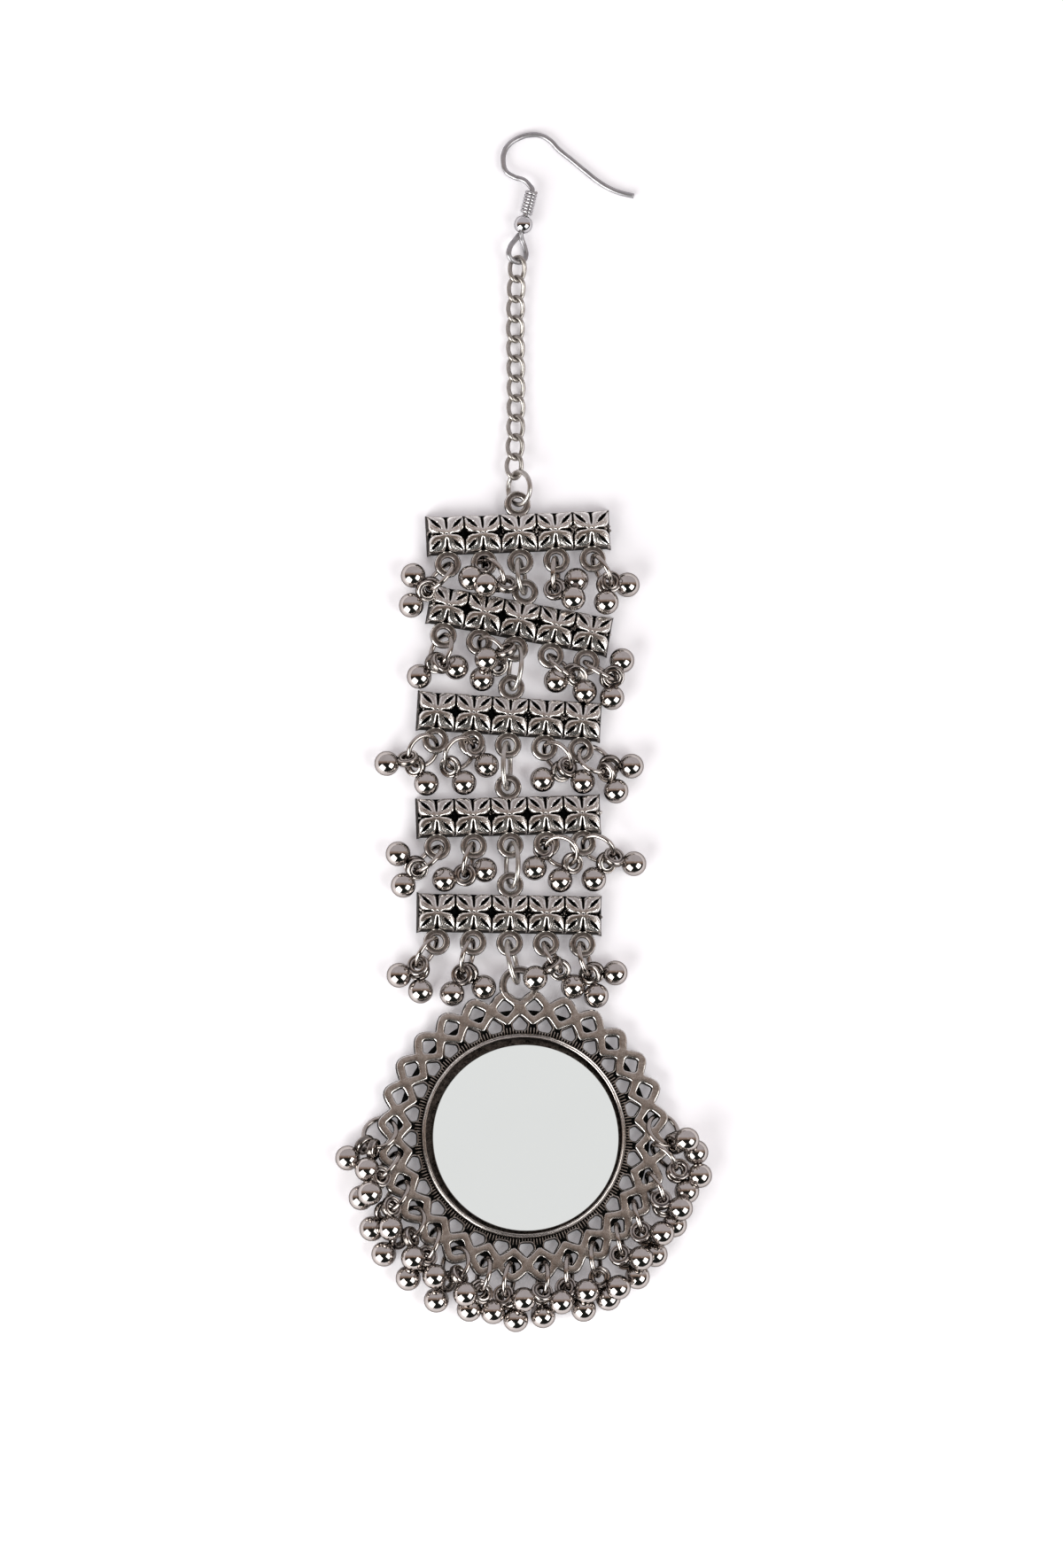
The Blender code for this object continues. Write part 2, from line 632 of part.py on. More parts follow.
def make_hook(chain_end):
    """The bent wire with its coil and bead."""
    held = HOOK_WIRE / 2 + LINK_WIRE / 2 + CLEAR
    foot = chain_end - Vector((0, held, 0))

    def loop_spot(x, y):
        return Vector((foot.x + x * MM, foot.y + y * MM, STEM_HEIGHT - LOOP_TILT * x * MM))

    turn = Matrix.Rotation(math.radians(HOOK_WAY), 4, "Z") @ Matrix.Rotation(math.radians(-90), 4, "X")
    axis = turn @ UP
    bead_at = foot + Vector((HOOK_BEAD[0] * MM, HOOK_BEAD[1] * MM, 0))
    bead_at.z = STEM_HEIGHT
    coil_at = bead_at + axis * (BEAD_ACROSS / 2 + CLEAR)
    route = [loop_spot(x, y) for x, y in HOOK_LOOP_START + HOOK_LOOP_END]
    route += [bead_at - axis * (BEAD_ACROSS / 2 + CLEAR), coil_at + axis * (COIL_LONG + CLEAR)]
    low = HOOK_WIRE / 2 + TABLE_GAP
    for index, (x, y) in enumerate(HOOK_CROOK, 1):
        height = low + (STEM_HEIGHT - low) * max(0.0, 1 - index / CROOK_SETTLED)
        route.append(Vector((foot.x + x * MM, foot.y + y * MM, height)))
    bm = bmesh.new()
    sweep(bm, route, HOOK_WIRE / 2, HOOK_SIDES, UP, False)
    place("hair_hook", mesh_from(bm, "hair_hook"), BRIGHT_SILVER)
    bm = bmesh.new()
    bead_half = math.sqrt((BEAD_ACROSS / 2) ** 2 - (STEM_BORE / 2) ** 2)
    bead = [(STEM_BORE / 2, -bead_half)]
    bead += [(BEAD_ACROSS / 2 * math.cos(a), BEAD_ACROSS / 2 * math.sin(a)) for a in (-0.8, 0, 0.8)]
    bead.append((STEM_BORE / 2, bead_half))
    turned(bm, bead, AROUND)
    place("hook_bead", mesh_from(bm, "hook_bead"), BRIGHT_SILVER, Matrix.Translation(bead_at) @ turn)
    bm = bmesh.new()
    coil = [(STEM_BORE / 2, 0), (COIL_ACROSS / 2, 0), (COIL_ACROSS / 2, COIL_LONG), (STEM_BORE / 2, COIL_LONG)]
    turned(bm, coil, AROUND)
    place("hook_coil", mesh_from(bm, "hook_coil"), BRIGHT_SILVER, Matrix.Translation(coil_at) @ turn)


def main():
    clear_scene()
    place("mirror_frame", frame_mesh(), OLD_SILVER)
    make_mirror()
    make_frame_drops()
    frame_hole = Vector((*polar(FRAME_LOOP_REACH, math.radians(90 + FRAME_TURN)), LUG_HEIGHT))
    lugs, top_loop = make_bars(frame_hole)
    make_bar_drops(lugs)
    ring = StandingRing(top_loop, math.radians(CHAIN_RING_WAY), math.radians(-36))
    bm = bmesh.new()
    ring.add(bm)
    place("chain_ring", mesh_from(bm, "chain_ring"), SATIN_SILVER)
    make_hook(make_chain(ring))


main()
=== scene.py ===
"""The finished looks of a maang tikka that lies face up on a pale table.

Cast flower bars in oxidised silver, a pierced frame round a mirror, ghungroo balls on jump rings, a curb
chain and a hair hook are made at the places of the model's own pieces.
"""
import math
import random

import bmesh
import bpy
import numpy as np
from mathutils import Matrix, Vector
from mathutils.geometry import delaunay_2d_cdt

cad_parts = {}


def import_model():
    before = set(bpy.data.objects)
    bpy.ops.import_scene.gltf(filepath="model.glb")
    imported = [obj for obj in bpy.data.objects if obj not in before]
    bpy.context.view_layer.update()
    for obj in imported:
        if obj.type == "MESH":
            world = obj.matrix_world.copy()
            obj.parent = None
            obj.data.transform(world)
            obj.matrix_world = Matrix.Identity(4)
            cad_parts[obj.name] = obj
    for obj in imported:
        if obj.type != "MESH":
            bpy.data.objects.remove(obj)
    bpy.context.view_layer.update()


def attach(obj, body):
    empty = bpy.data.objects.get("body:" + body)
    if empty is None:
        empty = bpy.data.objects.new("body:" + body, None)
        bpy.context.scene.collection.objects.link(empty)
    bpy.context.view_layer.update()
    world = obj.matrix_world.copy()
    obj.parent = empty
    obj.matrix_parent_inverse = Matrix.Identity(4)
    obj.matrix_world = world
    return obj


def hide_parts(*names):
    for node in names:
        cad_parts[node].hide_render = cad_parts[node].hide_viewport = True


MM = 0.001
UP = Vector((0, 0, 1))
FORWARD = Vector((0, 1, 0))
TRIANGLES_INSIDE = 1
CAP_GRAIN = 1e-5
WELD = 0.002 * MM

# The picture: its height on the table, its middle, and the lens's distance and tilt
PICTURE_HIGH = 252.1 * MM
PICTURE_MIDDLE = (1.25 * MM, 56.76 * MM, 2.4 * MM)
LENS_AWAY = 1.5
LENS_TILT = (7.0, -5.0)
SENSOR_HIGH = 36.0
CARD_HALF = 3.5
CARD_COLOUR = (0.845, 0.85, 0.84, 1.0)
TABLE_HALF = 3.0
# the table's glow is painted light: it lifts the shadows cast on the table
TABLE_GLOW = 0.22
GLOW_COLOUR = (0.98, 0.96, 1.0, 1.0)

ROOM = (
    # place from the mirror's end, 0, to the hook's end, 1, and the room's colour there
    (0.34, (0.018, 0.021, 0.019)),
    (0.46, (0.04, 0.032, 0.026)),
    (0.535, (0.34, 0.24, 0.18)),
    (0.60, (0.46, 0.37, 0.33)),
    (0.70, (0.66, 0.63, 0.66)),
)

SOFT_BOXES = (
    # name, direction and height in degrees, width, length, distance, radiance
    ("left_box", 225, 24, 0.95, 0.95, 1.2, 6.6),
    ("right_box", -32, 42, 0.8, 0.85, 1.2, 4.2),
)

SILVERS = (
    # name, colour in recesses, on faces, on worn edges, roughness dark and worn, grain, dents, edge tint
    ("oxidised_silver", (0.006, 0.007, 0.007), (0.40, 0.36, 0.33), (0.88, 0.86, 0.83), (0.38, 0.16), 1400.0,
     0.3, (0.6, 0.58, 0.56)),
    ("satin_silver", (0.02, 0.019, 0.018), (0.40, 0.37, 0.34), (0.72, 0.70, 0.67), (0.45, 0.2), 900.0, 0.25,
     (0.6, 0.58, 0.56)),
    ("ball_silver", (0.02, 0.018, 0.017), (0.40, 0.36, 0.33), (0.54, 0.50, 0.475), (0.3, 0.05), 500.0, 0.05,
     (0.2, 0.19, 0.185)),
    ("bright_silver", (0.08, 0.08, 0.08), (0.40, 0.39, 0.40), (0.62, 0.61, 0.62), (0.75, 0.05), 400.0, 0.06,
     (0.3, 0.3, 0.3)),
)
GLASS_COLOURS = ((0.0, (0.05, 0.055, 0.055)), (1.0, (0.86, 0.87, 0.87)))
TABLE_COLOURS = ((0.3, (0.88, 0.87, 0.89)), (0.7, (0.90, 0.89, 0.905)))
RING_WEAR = 0.62
CHAIN_WEAR = 0.5
HOOK_WEAR = 0.5
COIL_WEAR = 0.8
BEAD_WEAR = 0.9
BALL_WEAR = 0.85
NECK_WEAR = 0.45
WALL_WEAR = 0.05
SHEET_WEAR = 0.06

# Round findings
RING_ACROSS = 6.0 * MM
JOIN_PLAY = -0.12 * MM
WIRE = 0.7 * MM
WIRE_SEEN = 0.8 * MM
BALL = 4.0 * MM
BALL_ROWS = 16
BALL_SIDES = 32
TABLE_GAP = 0.03 * MM
EYELET_ACROSS = 3.6 * MM
EYELET_REACH = 3.45 * MM
JOIN_LEAN = 18.0
JOIN_HIGH = 2.35 * MM
EYELET_HOLE = 1.7 * MM
EYELET_THICK = 1.15 * MM
EYELET_LOW = 1.5 * MM
HANG_SHORT = 3.0 * MM
HANG_LONG = 3.95 * MM
NECK_FOOT = 0.68 * MM
NECK_TOP = 0.52 * MM
NECK_SUNK = 0.12 * MM
NECK_INTO_EYELET = 0.5 * MM

# Flower bars
FLOWERS = 5
FLOWER_PITCH = 5.87 * MM
BAR_ACROSS = 5.8 * MM
BAR_BACK = 0.1 * MM
FLOWER_GRID = 60
LUG_HEIGHT = 1.9 * MM
LUG_DROP = 4.85 * MM
LOOP_RISE = 4.5 * MM
LUG_ACROSS = 4.3 * MM
LUG_HOLE = 2.1 * MM
LUG_THICK = 0.95 * MM
CORNER = 0.6 * MM
WALL_FOOT = 0.2 * MM
END_FOOT = 0.06 * MM

# A flower's relief, in millimetres, and its leaf's half width as a share of the flower
CREST_HEIGHT = 3.25
CREST_FALL = 0.035
RIDGE_FALL = 0.078
RECESS_HEIGHT = 1.55
RECESS_GRAIN = 0.06
FACE_GRAIN = 0.008
LEAF_HALF = 0.36
LEAF_STEEP = 4.1
LEAF_EDGE_FALL = 0.42
SLIT_HALF = 0.055
SLIT_DEEP = 0.6
LIP_HIGH = 0.08
LIP_WIDE = 0.035
VEIN_HIGH = 0.014
VEINS_ALONG = 13
VEINS_ACROSS = 9
CREASE_DEEP = 0.5
CREASE_WIDE = 0.07
SEAM_WIDE = 0.1
RELIEF_BLUR = 8
RELIEF_SHARE = 6.0
RELIEF_MOST = 0.4
CRUMBS_ALONG = 0.6 * MM
CRUMBS_ACROSS = 0.75 * MM

# A cast ring from its hole to its rim: share across, share of the half thickness, wear
FLAT_RING = ((0.0, 0.5, 0.0), (0.07, 0.85, 0.9), (0.16, 1.0, 0.6), (0.36, 0.9, 0.24), (0.62, 0.92, 0.36),
             (0.8, 1.0, 0.55), (0.91, 0.85, 0.95), (1.0, 0.45, 0.0))
RIDGED_RING = ((0.0, 0.5, 0.25), (0.1, 0.92, 0.85), (0.24, 1.0, 0.7), (0.4, 0.8, 0.22), (0.56, 0.8, 0.22),
               (0.72, 1.0, 0.7), (0.88, 0.92, 0.9), (1.0, 0.5, 0.3))

# Mirror frame
MIRROR_ACROSS = 30.0 * MM
MIRROR_SHIFT = Vector((0.3 * MM, -0.3 * MM, 0))
MIRROR_LOW = 1.3 * MM
MIRROR_TOP = 2.8 * MM
GROUND_EDGE = 0.12 * MM
DIAMONDS = 28
HALF_MOTIF = math.pi / DIAMONDS
FRAME_TURN = 1.7
FRAME_LOOP_REACH = 24.2 * MM
FRAME_LOOP_PLAY = 0.7 * MM
FRAME_LOOP_ACROSS = 6.4 * MM
FRAME_LOOP_HOLE = 4.0 * MM
FRAME_LOOP_THICK = 1.1 * MM
DIAMOND_RADIUS = 20.8 * MM
FIRST_HOLE = 175.3
DIAMOND_CORNER = 0.6 * MM
WINDOW_CORNER = 0.4 * MM
CORNER_STEPS = 4
WINDOW_OUT = 20.3
WINDOW_IN = 16.2
WINDOW_TURNS = (-1.0, -0.5, 0.0, 0.5, 1.0)
RIB_START = 16.35 * MM
RIB_SHOULDER = 1.9
BEZEL_SIDES = 140
BEZEL_WOBBLE = 0.035 * MM

# Outlines of one motif: distance from the frame's middle in mm, turn in half motifs; metal lies on their left
LATTICE_TIP = ((21.75, -1.0), (22.1, -0.82), (22.6, -0.62), (23.05, -0.40), (23.33, -0.2), (23.4, 0.0))
LATTICE_FOOT = ((19.55, 1.0), (19.35, 0.86), (18.95, 0.62), (18.5, 0.38), (18.1, 0.17), (17.95, 0.0))
DIAMOND_HOLE = ((22.35, 0), (20.85, -0.68), (19.25, 0), (20.85, 0.68))
WINDOW_HOLE = ((19.5, 0), (18.1, -0.66), (17.1, -0.48), (17.1, 0.48), (18.1, 0.66))

# Rows of points along an outline: inset, height, wear
LATTICE_EDGE = ((0.24, 2.42, 0.55), (0.13, 2.4, 0.64), (0.04, 2.34, 0.92), (0.0, 2.26, 0.3),
                (-0.04, 2.1, 0.0), (-0.14, 1.3, 0.0))
WINDOW_EDGE = ((0.3, 1.95, 0.08), (0.2, 2.1, 0.4), (0.08, 2.12, 0.7), (0.0, 2.0, 0.2), (-0.1, 0.95, 0.0))

# A rib's section: across, height, wear; its shape: share of its length, share of its width, drop;
# then each kind's length and its turns in half motifs
RIB_SECTION = ((-0.17, 1.8, 0.0), (-0.15, 2.12, 0.1), (-0.06, 2.3, 0.62), (0.06, 2.3, 0.62),
               (0.15, 2.12, 0.1), (0.17, 1.8, 0.0))
RIB_SHAPE = ((0, 0.5, 0.25), (0.08, 0.9, 0.06), (0.5, 1.0, 0.0), (0.92, 0.9, 0.06), (1, 0.5, 0.25))
RIBS = ((1.25, (0.86, 1.14, 0.62, 1.38)), (0.62, (0.37, 0.12, -0.12, -0.37)))

# The cup's back, the bezel and the mirror's bed: radius, height, wear
BEZEL = (
    (0, 0, 0.5), (16.0, 0, 0.5), (16.35, 0.2, 0.3), (16.45, 2.3, 0.05), (16.42, 2.95, 0.2),
    (16.33, 3.18, 0.55), (16.2, 3.27, 0.75), (16.1, 3.2, 0.25), (16.0, 3.27, 0.62), (15.88, 3.27, 0.7),
    (15.78, 3.18, 0.5), (15.75, 3.0, 0.35), (15.75, 1.0, 0.2), (0, 1.0, 0.1),
)

# Curb chain and hair hook
LINKS = 11
LINK_PITCH = 3.24 * MM
LINK_ACROSS = 3.0 * MM
LINK_WIRE = 0.65 * MM
LINK_WIRE_SEEN = 0.74 * MM
LINK_TWIST = 0.42 * MM
LINK_PLAY = 0.04 * MM
LINK_HALF_LONG = (LINK_PITCH + LINK_WIRE + LINK_PLAY) / 2
CHAIN_SWAY = 0.2 * MM
CHAIN_DRIFT = 0.7 * MM
CHAIN_RING_WAY = 95.0
CHAIN_RING_LEAN = -36.0
CHAIN_HEIGHT = 0.8 * MM
LIFTED_LINKS = 3
LINK_POINTS = 24
CLEAR = 0.15 * MM
HOOK_WIRE = 0.7 * MM
HOOK_WIRE_SEEN = 0.85 * MM
COIL_ACROSS = 2.05 * MM
COIL_LONG = 4.2 * MM
COIL_TURNS = 7
COIL_START = 0.3 * MM
BEAD_ACROSS = 3.0 * MM
BEAD_ROWS = 14
STEM_HEIGHT = BEAD_ACROSS / 2 + 0.05 * MM
LOOP_TILT = 0.7
HOOK_LOOP = (
    (0.35, 4.55), (-0.35, 3.6), (-1.2, 2.3), (-1.35, 0.8), (0.0, 0.0), (0.95, 0.25), (1.5, 1.3), (1.3, 2.6),
    (0.85, 3.7),
)
HOOK_BEAD = (1.0, 6.2)
HOOK_WAY = -14.0
HOOK_CROOK = (
    (2.15, 12.5), (1.2, 13.5), (-0.5, 14.1), (-1.75, 15.0), (-2.2, 16.7), (-2.0, 18.3), (-1.15, 19.6),
    (0.3, 20.6), (2.1, 21.15), (3.9, 21.1), (5.4, 20.35), (6.9, 18.8), (8.9, 17.2), (11.1, 15.4),
    (13.4, 13.6), (15.1, 12.6), (17.0, 11.85), (19.1, 11.4),
)
CROOK_SETTLED = 8

BARS = (
    # name, turn, distance, way, lean
    ("bar_5", -0.5, 1.17, 12.5, 36),
    ("bar_4", 2.1, 1.08, 0.0, -36),
    ("bar_3", -3.2, 1.14, 0.0, 36),
    ("bar_2", -10.0, 1.06, -5.3, -36),
    ("bar_1", 2.9, 0.84, 8.7, 36),
)

BAR_DROPS = (
    # bar, lug, way, lean, ball 1 x, y, lift, ball 2 x, y, lift
    ("bar_1", 1, -40, 20, -1.36, -0.50, 0, -1.57, -1.78, 0),
    ("bar_1", 2, 27, 24, 0.30, -0.96, 0.58, -0.80, -0.90, 0.60),
    ("bar_1", 4, 0, -14, 0.80, -0.80, 0, 0.62, -1.62, 0.6),
    ("bar_1", 5, 30, 10, 0.52, -1.80, 0.3, 1.40, -1.04, 0),
    ("bar_2", 1, -20, 30, -0.88, -1.60, 0, 0.52, -1.29, 0),
    ("bar_2", 2, 45, 25, 0.11, -1.50, 0, 0.39, -0.70, 0.6),
    ("bar_2", 4, 50, -20, 0.30, -1.0, 0, 1.29, -1.33, 0),
    ("bar_2", 5, 60, -15, 1.44, 0.08, 0, 1.03, -1.43, 0),
    ("bar_3", 1, -45, -50, -1.96, -0.96, 0, -0.36, -1.75, 0),
    ("bar_3", 2, -45, -50, -0.31, -1.62, 0, 0.66, -0.99, 0),
    ("bar_3", 4, 45, 30, -0.22, -1.36, 0, 1.55, -1.36, 0),
    ("bar_3", 5, 60, -50, 2.05, -0.63, 0, 1.43, -1.65, 0),
    ("bar_4", 1, -45, 20, -1.58, -0.29, 0, -1.37, -1.56, 0),
    ("bar_4", 2, -15, -15, -1.18, -1.36, 0, 0.44, -0.96, 0),
    ("bar_4", 4, 60, 50, -0.52, -1.03, 0, 0.55, -1.45, 0),
    ("bar_4", 5, 60, 36, 0.41, -1.49, 0, 2.06, -0.81, 0),
    ("bar_5", 1, -35, -20, -1.51, -1.36, 0, -0.63, -2.21, 0),
    ("bar_5", 2, -15, -20, -0.86, -2.10, 0, 0.43, -1.80, 0),
    ("bar_5", 4, 30, -18, -0.50, -1.45, 0.70, 1.09, -1.71, 0),
    ("bar_5", 5, 15, -20, 0.55, -2.06, 0, 1.36, -1.14, 0),
)

FRINGE = (
    # way and lean of the ring, then each ball's distance, direction and lift
    (214, 58, 29.4, 188.6, 0, 26.8, 196.0, 0.45),
    (231, 15, 29.2, 202.6, 0, 26.6, 201.0, 0.72),
    (238, 25, 28.9, 211.9, 0, 26.2, 215.0, 0.5),
    (244, 45, 31.5, 220.7, 0, 26.6, 228.0, 0.5),
    (249, 15, 30.3, 231.0, 0, 26.8, 237.5, 0.5),
    (254, 45, 30.6, 242.0, 0, 26.3, 248.0, 0.5),
    (258, 15, 29.1, 252.6, 0, 28.9, 260.6, 0.15),
    (262, -20, 30.5, 268.4, 0, 26.2, 268.5, 0.5),
    (266, 12, 28.9, 276.2, 0, 27.3, 282.4, 0.6),
    (271, -15, 31.4, 290.2, 0, 26.6, 291.0, 0.55),
    (276, -20, 31.1, 297.5, 0, 29.7, 302.9, 0.62),
    (282, -12, 29.9, 309.0, 0, 26.8, 313.0, 0.66),
    (288, -12, 28.7, 318.0, 0, 26.8, 324.4, 0.6),
    (295, 12, 28.8, 329.1, 0, 26.4, 335.0, 0.62),
    (314, 12, 29.1, 339.1, 0, 29.4, 347.6, 0.2),
    (312, -58, 27.8, 355.0, 0.1, 26.2, 358.6, 0.95),
)

CRUMBS = (
    # bar, place along it in flowers, count of grains, size of the biggest in mm
    ("bar_1", -2.42, 12, 0.3), ("bar_1", -0.5, 5, 0.25), ("bar_1", 0.5, 18, 0.3), ("bar_1", 1.5, 18, 0.32),
    ("bar_1", 2.42, 12, 0.38), ("bar_2", -2.42, 12, 0.3), ("bar_2", 0.5, 5, 0.25), ("bar_2", 1.5, 10, 0.25),
    ("bar_2", 2.42, 8, 0.36), ("bar_3", -2.42, 10, 0.3), ("bar_3", 0.5, 9, 0.25), ("bar_3", 1.5, 16, 0.26),
    ("bar_3", 2.42, 9, 0.3), ("bar_4", -2.42, 5, 0.3), ("bar_4", -0.5, 6, 0.22), ("bar_4", 2.42, 5, 0.45),
    ("bar_5", -2.42, 5, 0.3), ("bar_5", 0.5, 7, 0.2), ("bar_5", 1.5, 8, 0.2), ("bar_5", 2.42, 7, 0.36),
)

LEAF_TONE = {"bar_1": 0.66, "bar_2": 0.56, "bar_3": 0.55, "bar_4": 0.54, "bar_5": 0.54}


class Value:
    """One output socket of a node tree, for sums written as Python expressions."""

    def __init__(self, tree, socket):
        self.tree = tree
        self.socket = socket

    def math(self, operation, *others, clamp=False):
        """A Math node on this value and others."""
        made = self.tree.group.nodes.new("ShaderNodeMath")
        made.operation = operation
        made.use_clamp = clamp
        for slot, value in zip(made.inputs, (self, *others)):
            self.tree.feed(slot, value)
        return Value(self.tree, made.outputs[0])

    def __add__(self, other):
        return self.math("ADD", other)

    def __mul__(self, other):
        return self.math("MULTIPLY", other)

    def __sub__(self, other):
        return self.math("SUBTRACT", other)

    def __rsub__(self, other):
        return (self * -1.0) + other

    def clamped(self):
        """This value kept between 0 and 1."""
        return self.math("ADD", 0.0, clamp=True)


class Tree:
    """A node group under construction, for Geometry Nodes or a surface."""

    def __init__(self, group):
        self.group = group

    def feed(self, slot, value):
        """Links a value to a socket, or sets it."""
        if isinstance(value, Value):
            self.group.links.new(value.socket, slot)
        else:
            slot.default_value = value

    def node(self, kind, inputs=None, **settings):
        """Any node: its settings first, then the values or links of its sockets; gives its outputs."""
        made = self.group.nodes.new(kind)
        for name, value in settings.items():
            setattr(made, name, value)
        for name, value in (inputs or {}).items():
            self.feed(made.inputs[name], value)
        return [Value(self, socket) for socket in made.outputs]

    def noise(self, place, scale, detail=2.0, roughness=0.5):
        """Cloudy noise of a given fineness."""
        return self.node("ShaderNodeTexNoise", {"Vector": place, "Scale": scale, "Detail": detail,
                                                "Roughness": roughness})[0]

    def ramp(self, value, stops):
        """A colour for a value, blended between stops of (place, colour)."""
        made = self.group.nodes.new("ShaderNodeValToRGB")
        elements = made.color_ramp.elements
        while len(elements) < len(stops):
            elements.new(1.0)
        for element, (place, colour) in zip(elements, stops):
            element.position = place
            element.color = (*colour, 1.0)
        self.feed(made.inputs["Fac"], value)
        return Value(self, made.outputs["Color"])


class Recipe(Tree):
    """A Geometry Nodes tree with named inputs, whose result is taken as a plain mesh."""

    SOCKETS = {float: "NodeSocketFloat", int: "NodeSocketInt", "object": "NodeSocketObject",
               "material": "NodeSocketMaterial"}

    def __init__(self, name, **inputs):
        super().__init__(bpy.data.node_groups.new(name, "GeometryNodeTree"))
        self.keys = {}
        for key, kind in inputs.items():
            item = self.group.interface.new_socket(key, in_out="INPUT", socket_type=self.SOCKETS[kind])
            self.keys[key] = item.identifier
        self.group.interface.new_socket("Geometry", in_out="OUTPUT", socket_type="NodeSocketGeometry")
        source = self.group.nodes.new("NodeGroupInput")
        self.inputs = {key: Value(self, source.outputs[key]) for key in inputs}

    def finish(self, geometry):
        """Ends the tree in plain faces with one surface."""
        real = self.node("GeometryNodeRealizeInstances", {"Geometry": geometry})[0]
        made = self.node("GeometryNodeSetMaterial", {"Geometry": real, "Material": self.inputs["surface"]})[0]
        end = self.group.nodes.new("NodeGroupOutput")
        self.group.links.new(made.socket, end.inputs[0])

    def finish_wire(self, path, sides):
        """Ends the tree in a round wire along a path."""
        section = self.node("GeometryNodeCurvePrimitiveCircle",
                            {"Resolution": sides, "Radius": self.inputs["wire"] * 0.5})[0]
        parts = {"Curve": path, "Profile Curve": section, "Fill Caps": True}
        self.finish(self.node("GeometryNodeCurveToMesh", parts)[0])

    def mesh(self, name, **values):
        """The mesh that the tree makes from these inputs."""
        holder = placed(name, bpy.data.meshes.new(name))
        maker = holder.modifiers.new("Make", "NODES")
        maker.node_group = self.group
        for key, value in values.items():
            maker[self.keys[key]] = value
        return plain_mesh(holder)

    def copies(self, motif, **values):
        """The mesh that the tree makes from copies of another mesh."""
        source = placed("motif", motif)
        made = self.mesh("copies", motif=source, **values)
        bpy.data.objects.remove(source, do_unlink=True)
        return made


class Shell:
    """Faces built row by row, with the wear of each point."""

    def __init__(self):
        self.bm = bmesh.new()
        self.layer = self.bm.verts.layers.float.new("wear")

    def row(self, points, wear):
        """New points, with one wear for all or one for each."""
        made = [self.bm.verts.new(point) for point in points]
        for vert, level in zip(made, np.broadcast_to(wear, len(made))):
            vert[self.layer] = float(level)
        return made

    def skin(self, rows, closed=True):
        """Faces between each row and the next; a row of one repeated point makes triangles."""
        for low, high in zip(rows, rows[1:]):
            for index in range(len(low) if closed else len(low) - 1):
                after = (index + 1) % len(low)
                corners = (low[index], low[after], high[after], high[index])
                self.bm.faces.new([corner for at, corner in enumerate(corners) if corner != corners[at - 1]])

    def edge(self, outline, levels, closed=True):
        """A cast edge along an outline, in rows of inset, height and wear; open ends stay on their rays."""
        rows = []
        for inset, height, level in levels:
            moved = shrunk(outline, inset * MM, closed)
            for end in () if closed else (0, -1):
                ray = outline[end].normalized()
                moved[end] = ray * moved[end].dot(ray)
            rows.append(self.row([(point.x, point.y, height * MM) for point in moved], level))
        self.skin(rows, closed)
        return rows

    def cap(self, loop, opening):
        """Flat triangles between an outline and the opening in it."""
        points = loop + opening
        flat = [point.co.to_2d() / MM for point in points]
        edges = [(i, (i + 1) % len(loop)) for i in range(len(loop))]
        edges += [(len(loop) + i, len(loop) + (i + 1) % len(opening)) for i in range(len(opening))]
        filled = delaunay_2d_cdt(flat, edges, [], TRIANGLES_INSIDE, CAP_GRAIN)
        for triangle in filled[2]:
            corners = [points[filled[3][index][0]] for index in triangle]
            if not all(corner in opening for corner in corners):
                self.bm.faces.new(corners)

    def mesh(self, name):
        """The finished mesh, with its faces turned outwards."""
        bmesh.ops.recalc_face_normals(self.bm, faces=self.bm.faces)
        return mesh_of(name, self.bm)


def placed(name, data):
    """A new object in the scene."""
    made = bpy.data.objects.new(name, data)
    bpy.context.scene.collection.objects.link(made)
    return made


def plain_mesh(holder):
    """The mesh that an object's curve or tree makes; the object goes."""
    solid = holder.evaluated_get(bpy.context.evaluated_depsgraph_get())
    made = bpy.data.meshes.new_from_object(solid)
    bpy.data.objects.remove(holder, do_unlink=True)
    return made


def mesh_of(name, bm):
    """The mesh of a finished bmesh."""
    mesh = bpy.data.meshes.new(name)
    bm.to_mesh(mesh)
    bm.free()
    return mesh


def joined(name, *meshes):
    """One mesh out of several."""
    bm = bmesh.new()
    for mesh in meshes:
        bm.from_mesh(mesh)
    return mesh_of(name, bm)


def welded(mesh, close=None):
    """Welds the points of a mesh that meet, closes it if told how, and turns its faces outwards."""
    bm = bmesh.new()
    bm.from_mesh(mesh)
    bmesh.ops.remove_doubles(bm, verts=bm.verts, dist=WELD)
    if close:
        close(bm)
    bmesh.ops.recalc_face_normals(bm, faces=bm.faces)
    bm.to_mesh(mesh)
    bm.free()
    return mesh


def finished(name, mesh, material, node, crisp=None):
    """Puts a mesh into the scene in place of a node."""
    mesh.materials.clear()
    mesh.materials.append(material)
    for polygon in mesh.polygons:
        polygon.use_smooth = True
        polygon.material_index = 0
    if crisp is not None:
        mesh.set_sharp_from_angle(angle=math.radians(crisp))
    piece = placed(name, mesh)
    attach(piece, "root")
    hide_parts(node)


def set_wear(mesh, level):
    """Writes how bright a mesh is worn, from 0 in a recess to 1 on an edge."""
    layer = mesh.attributes.new("wear", "FLOAT", "POINT")
    layer.data.foreach_set("value", np.full(len(mesh.vertices), level, dtype=np.float32))


# Surfaces


def new_surface(name, metallic=1.0):
    """A material, its tree, its shader and the place on the object."""
    material = bpy.data.materials.new(name)
    material.use_nodes = True
    tree = Tree(material.node_tree)
    shader = material.node_tree.nodes["Principled BSDF"]
    shader.inputs["Metallic"].default_value = metallic
    return material, tree, shader.inputs, tree.node("ShaderNodeTexCoord")[3]


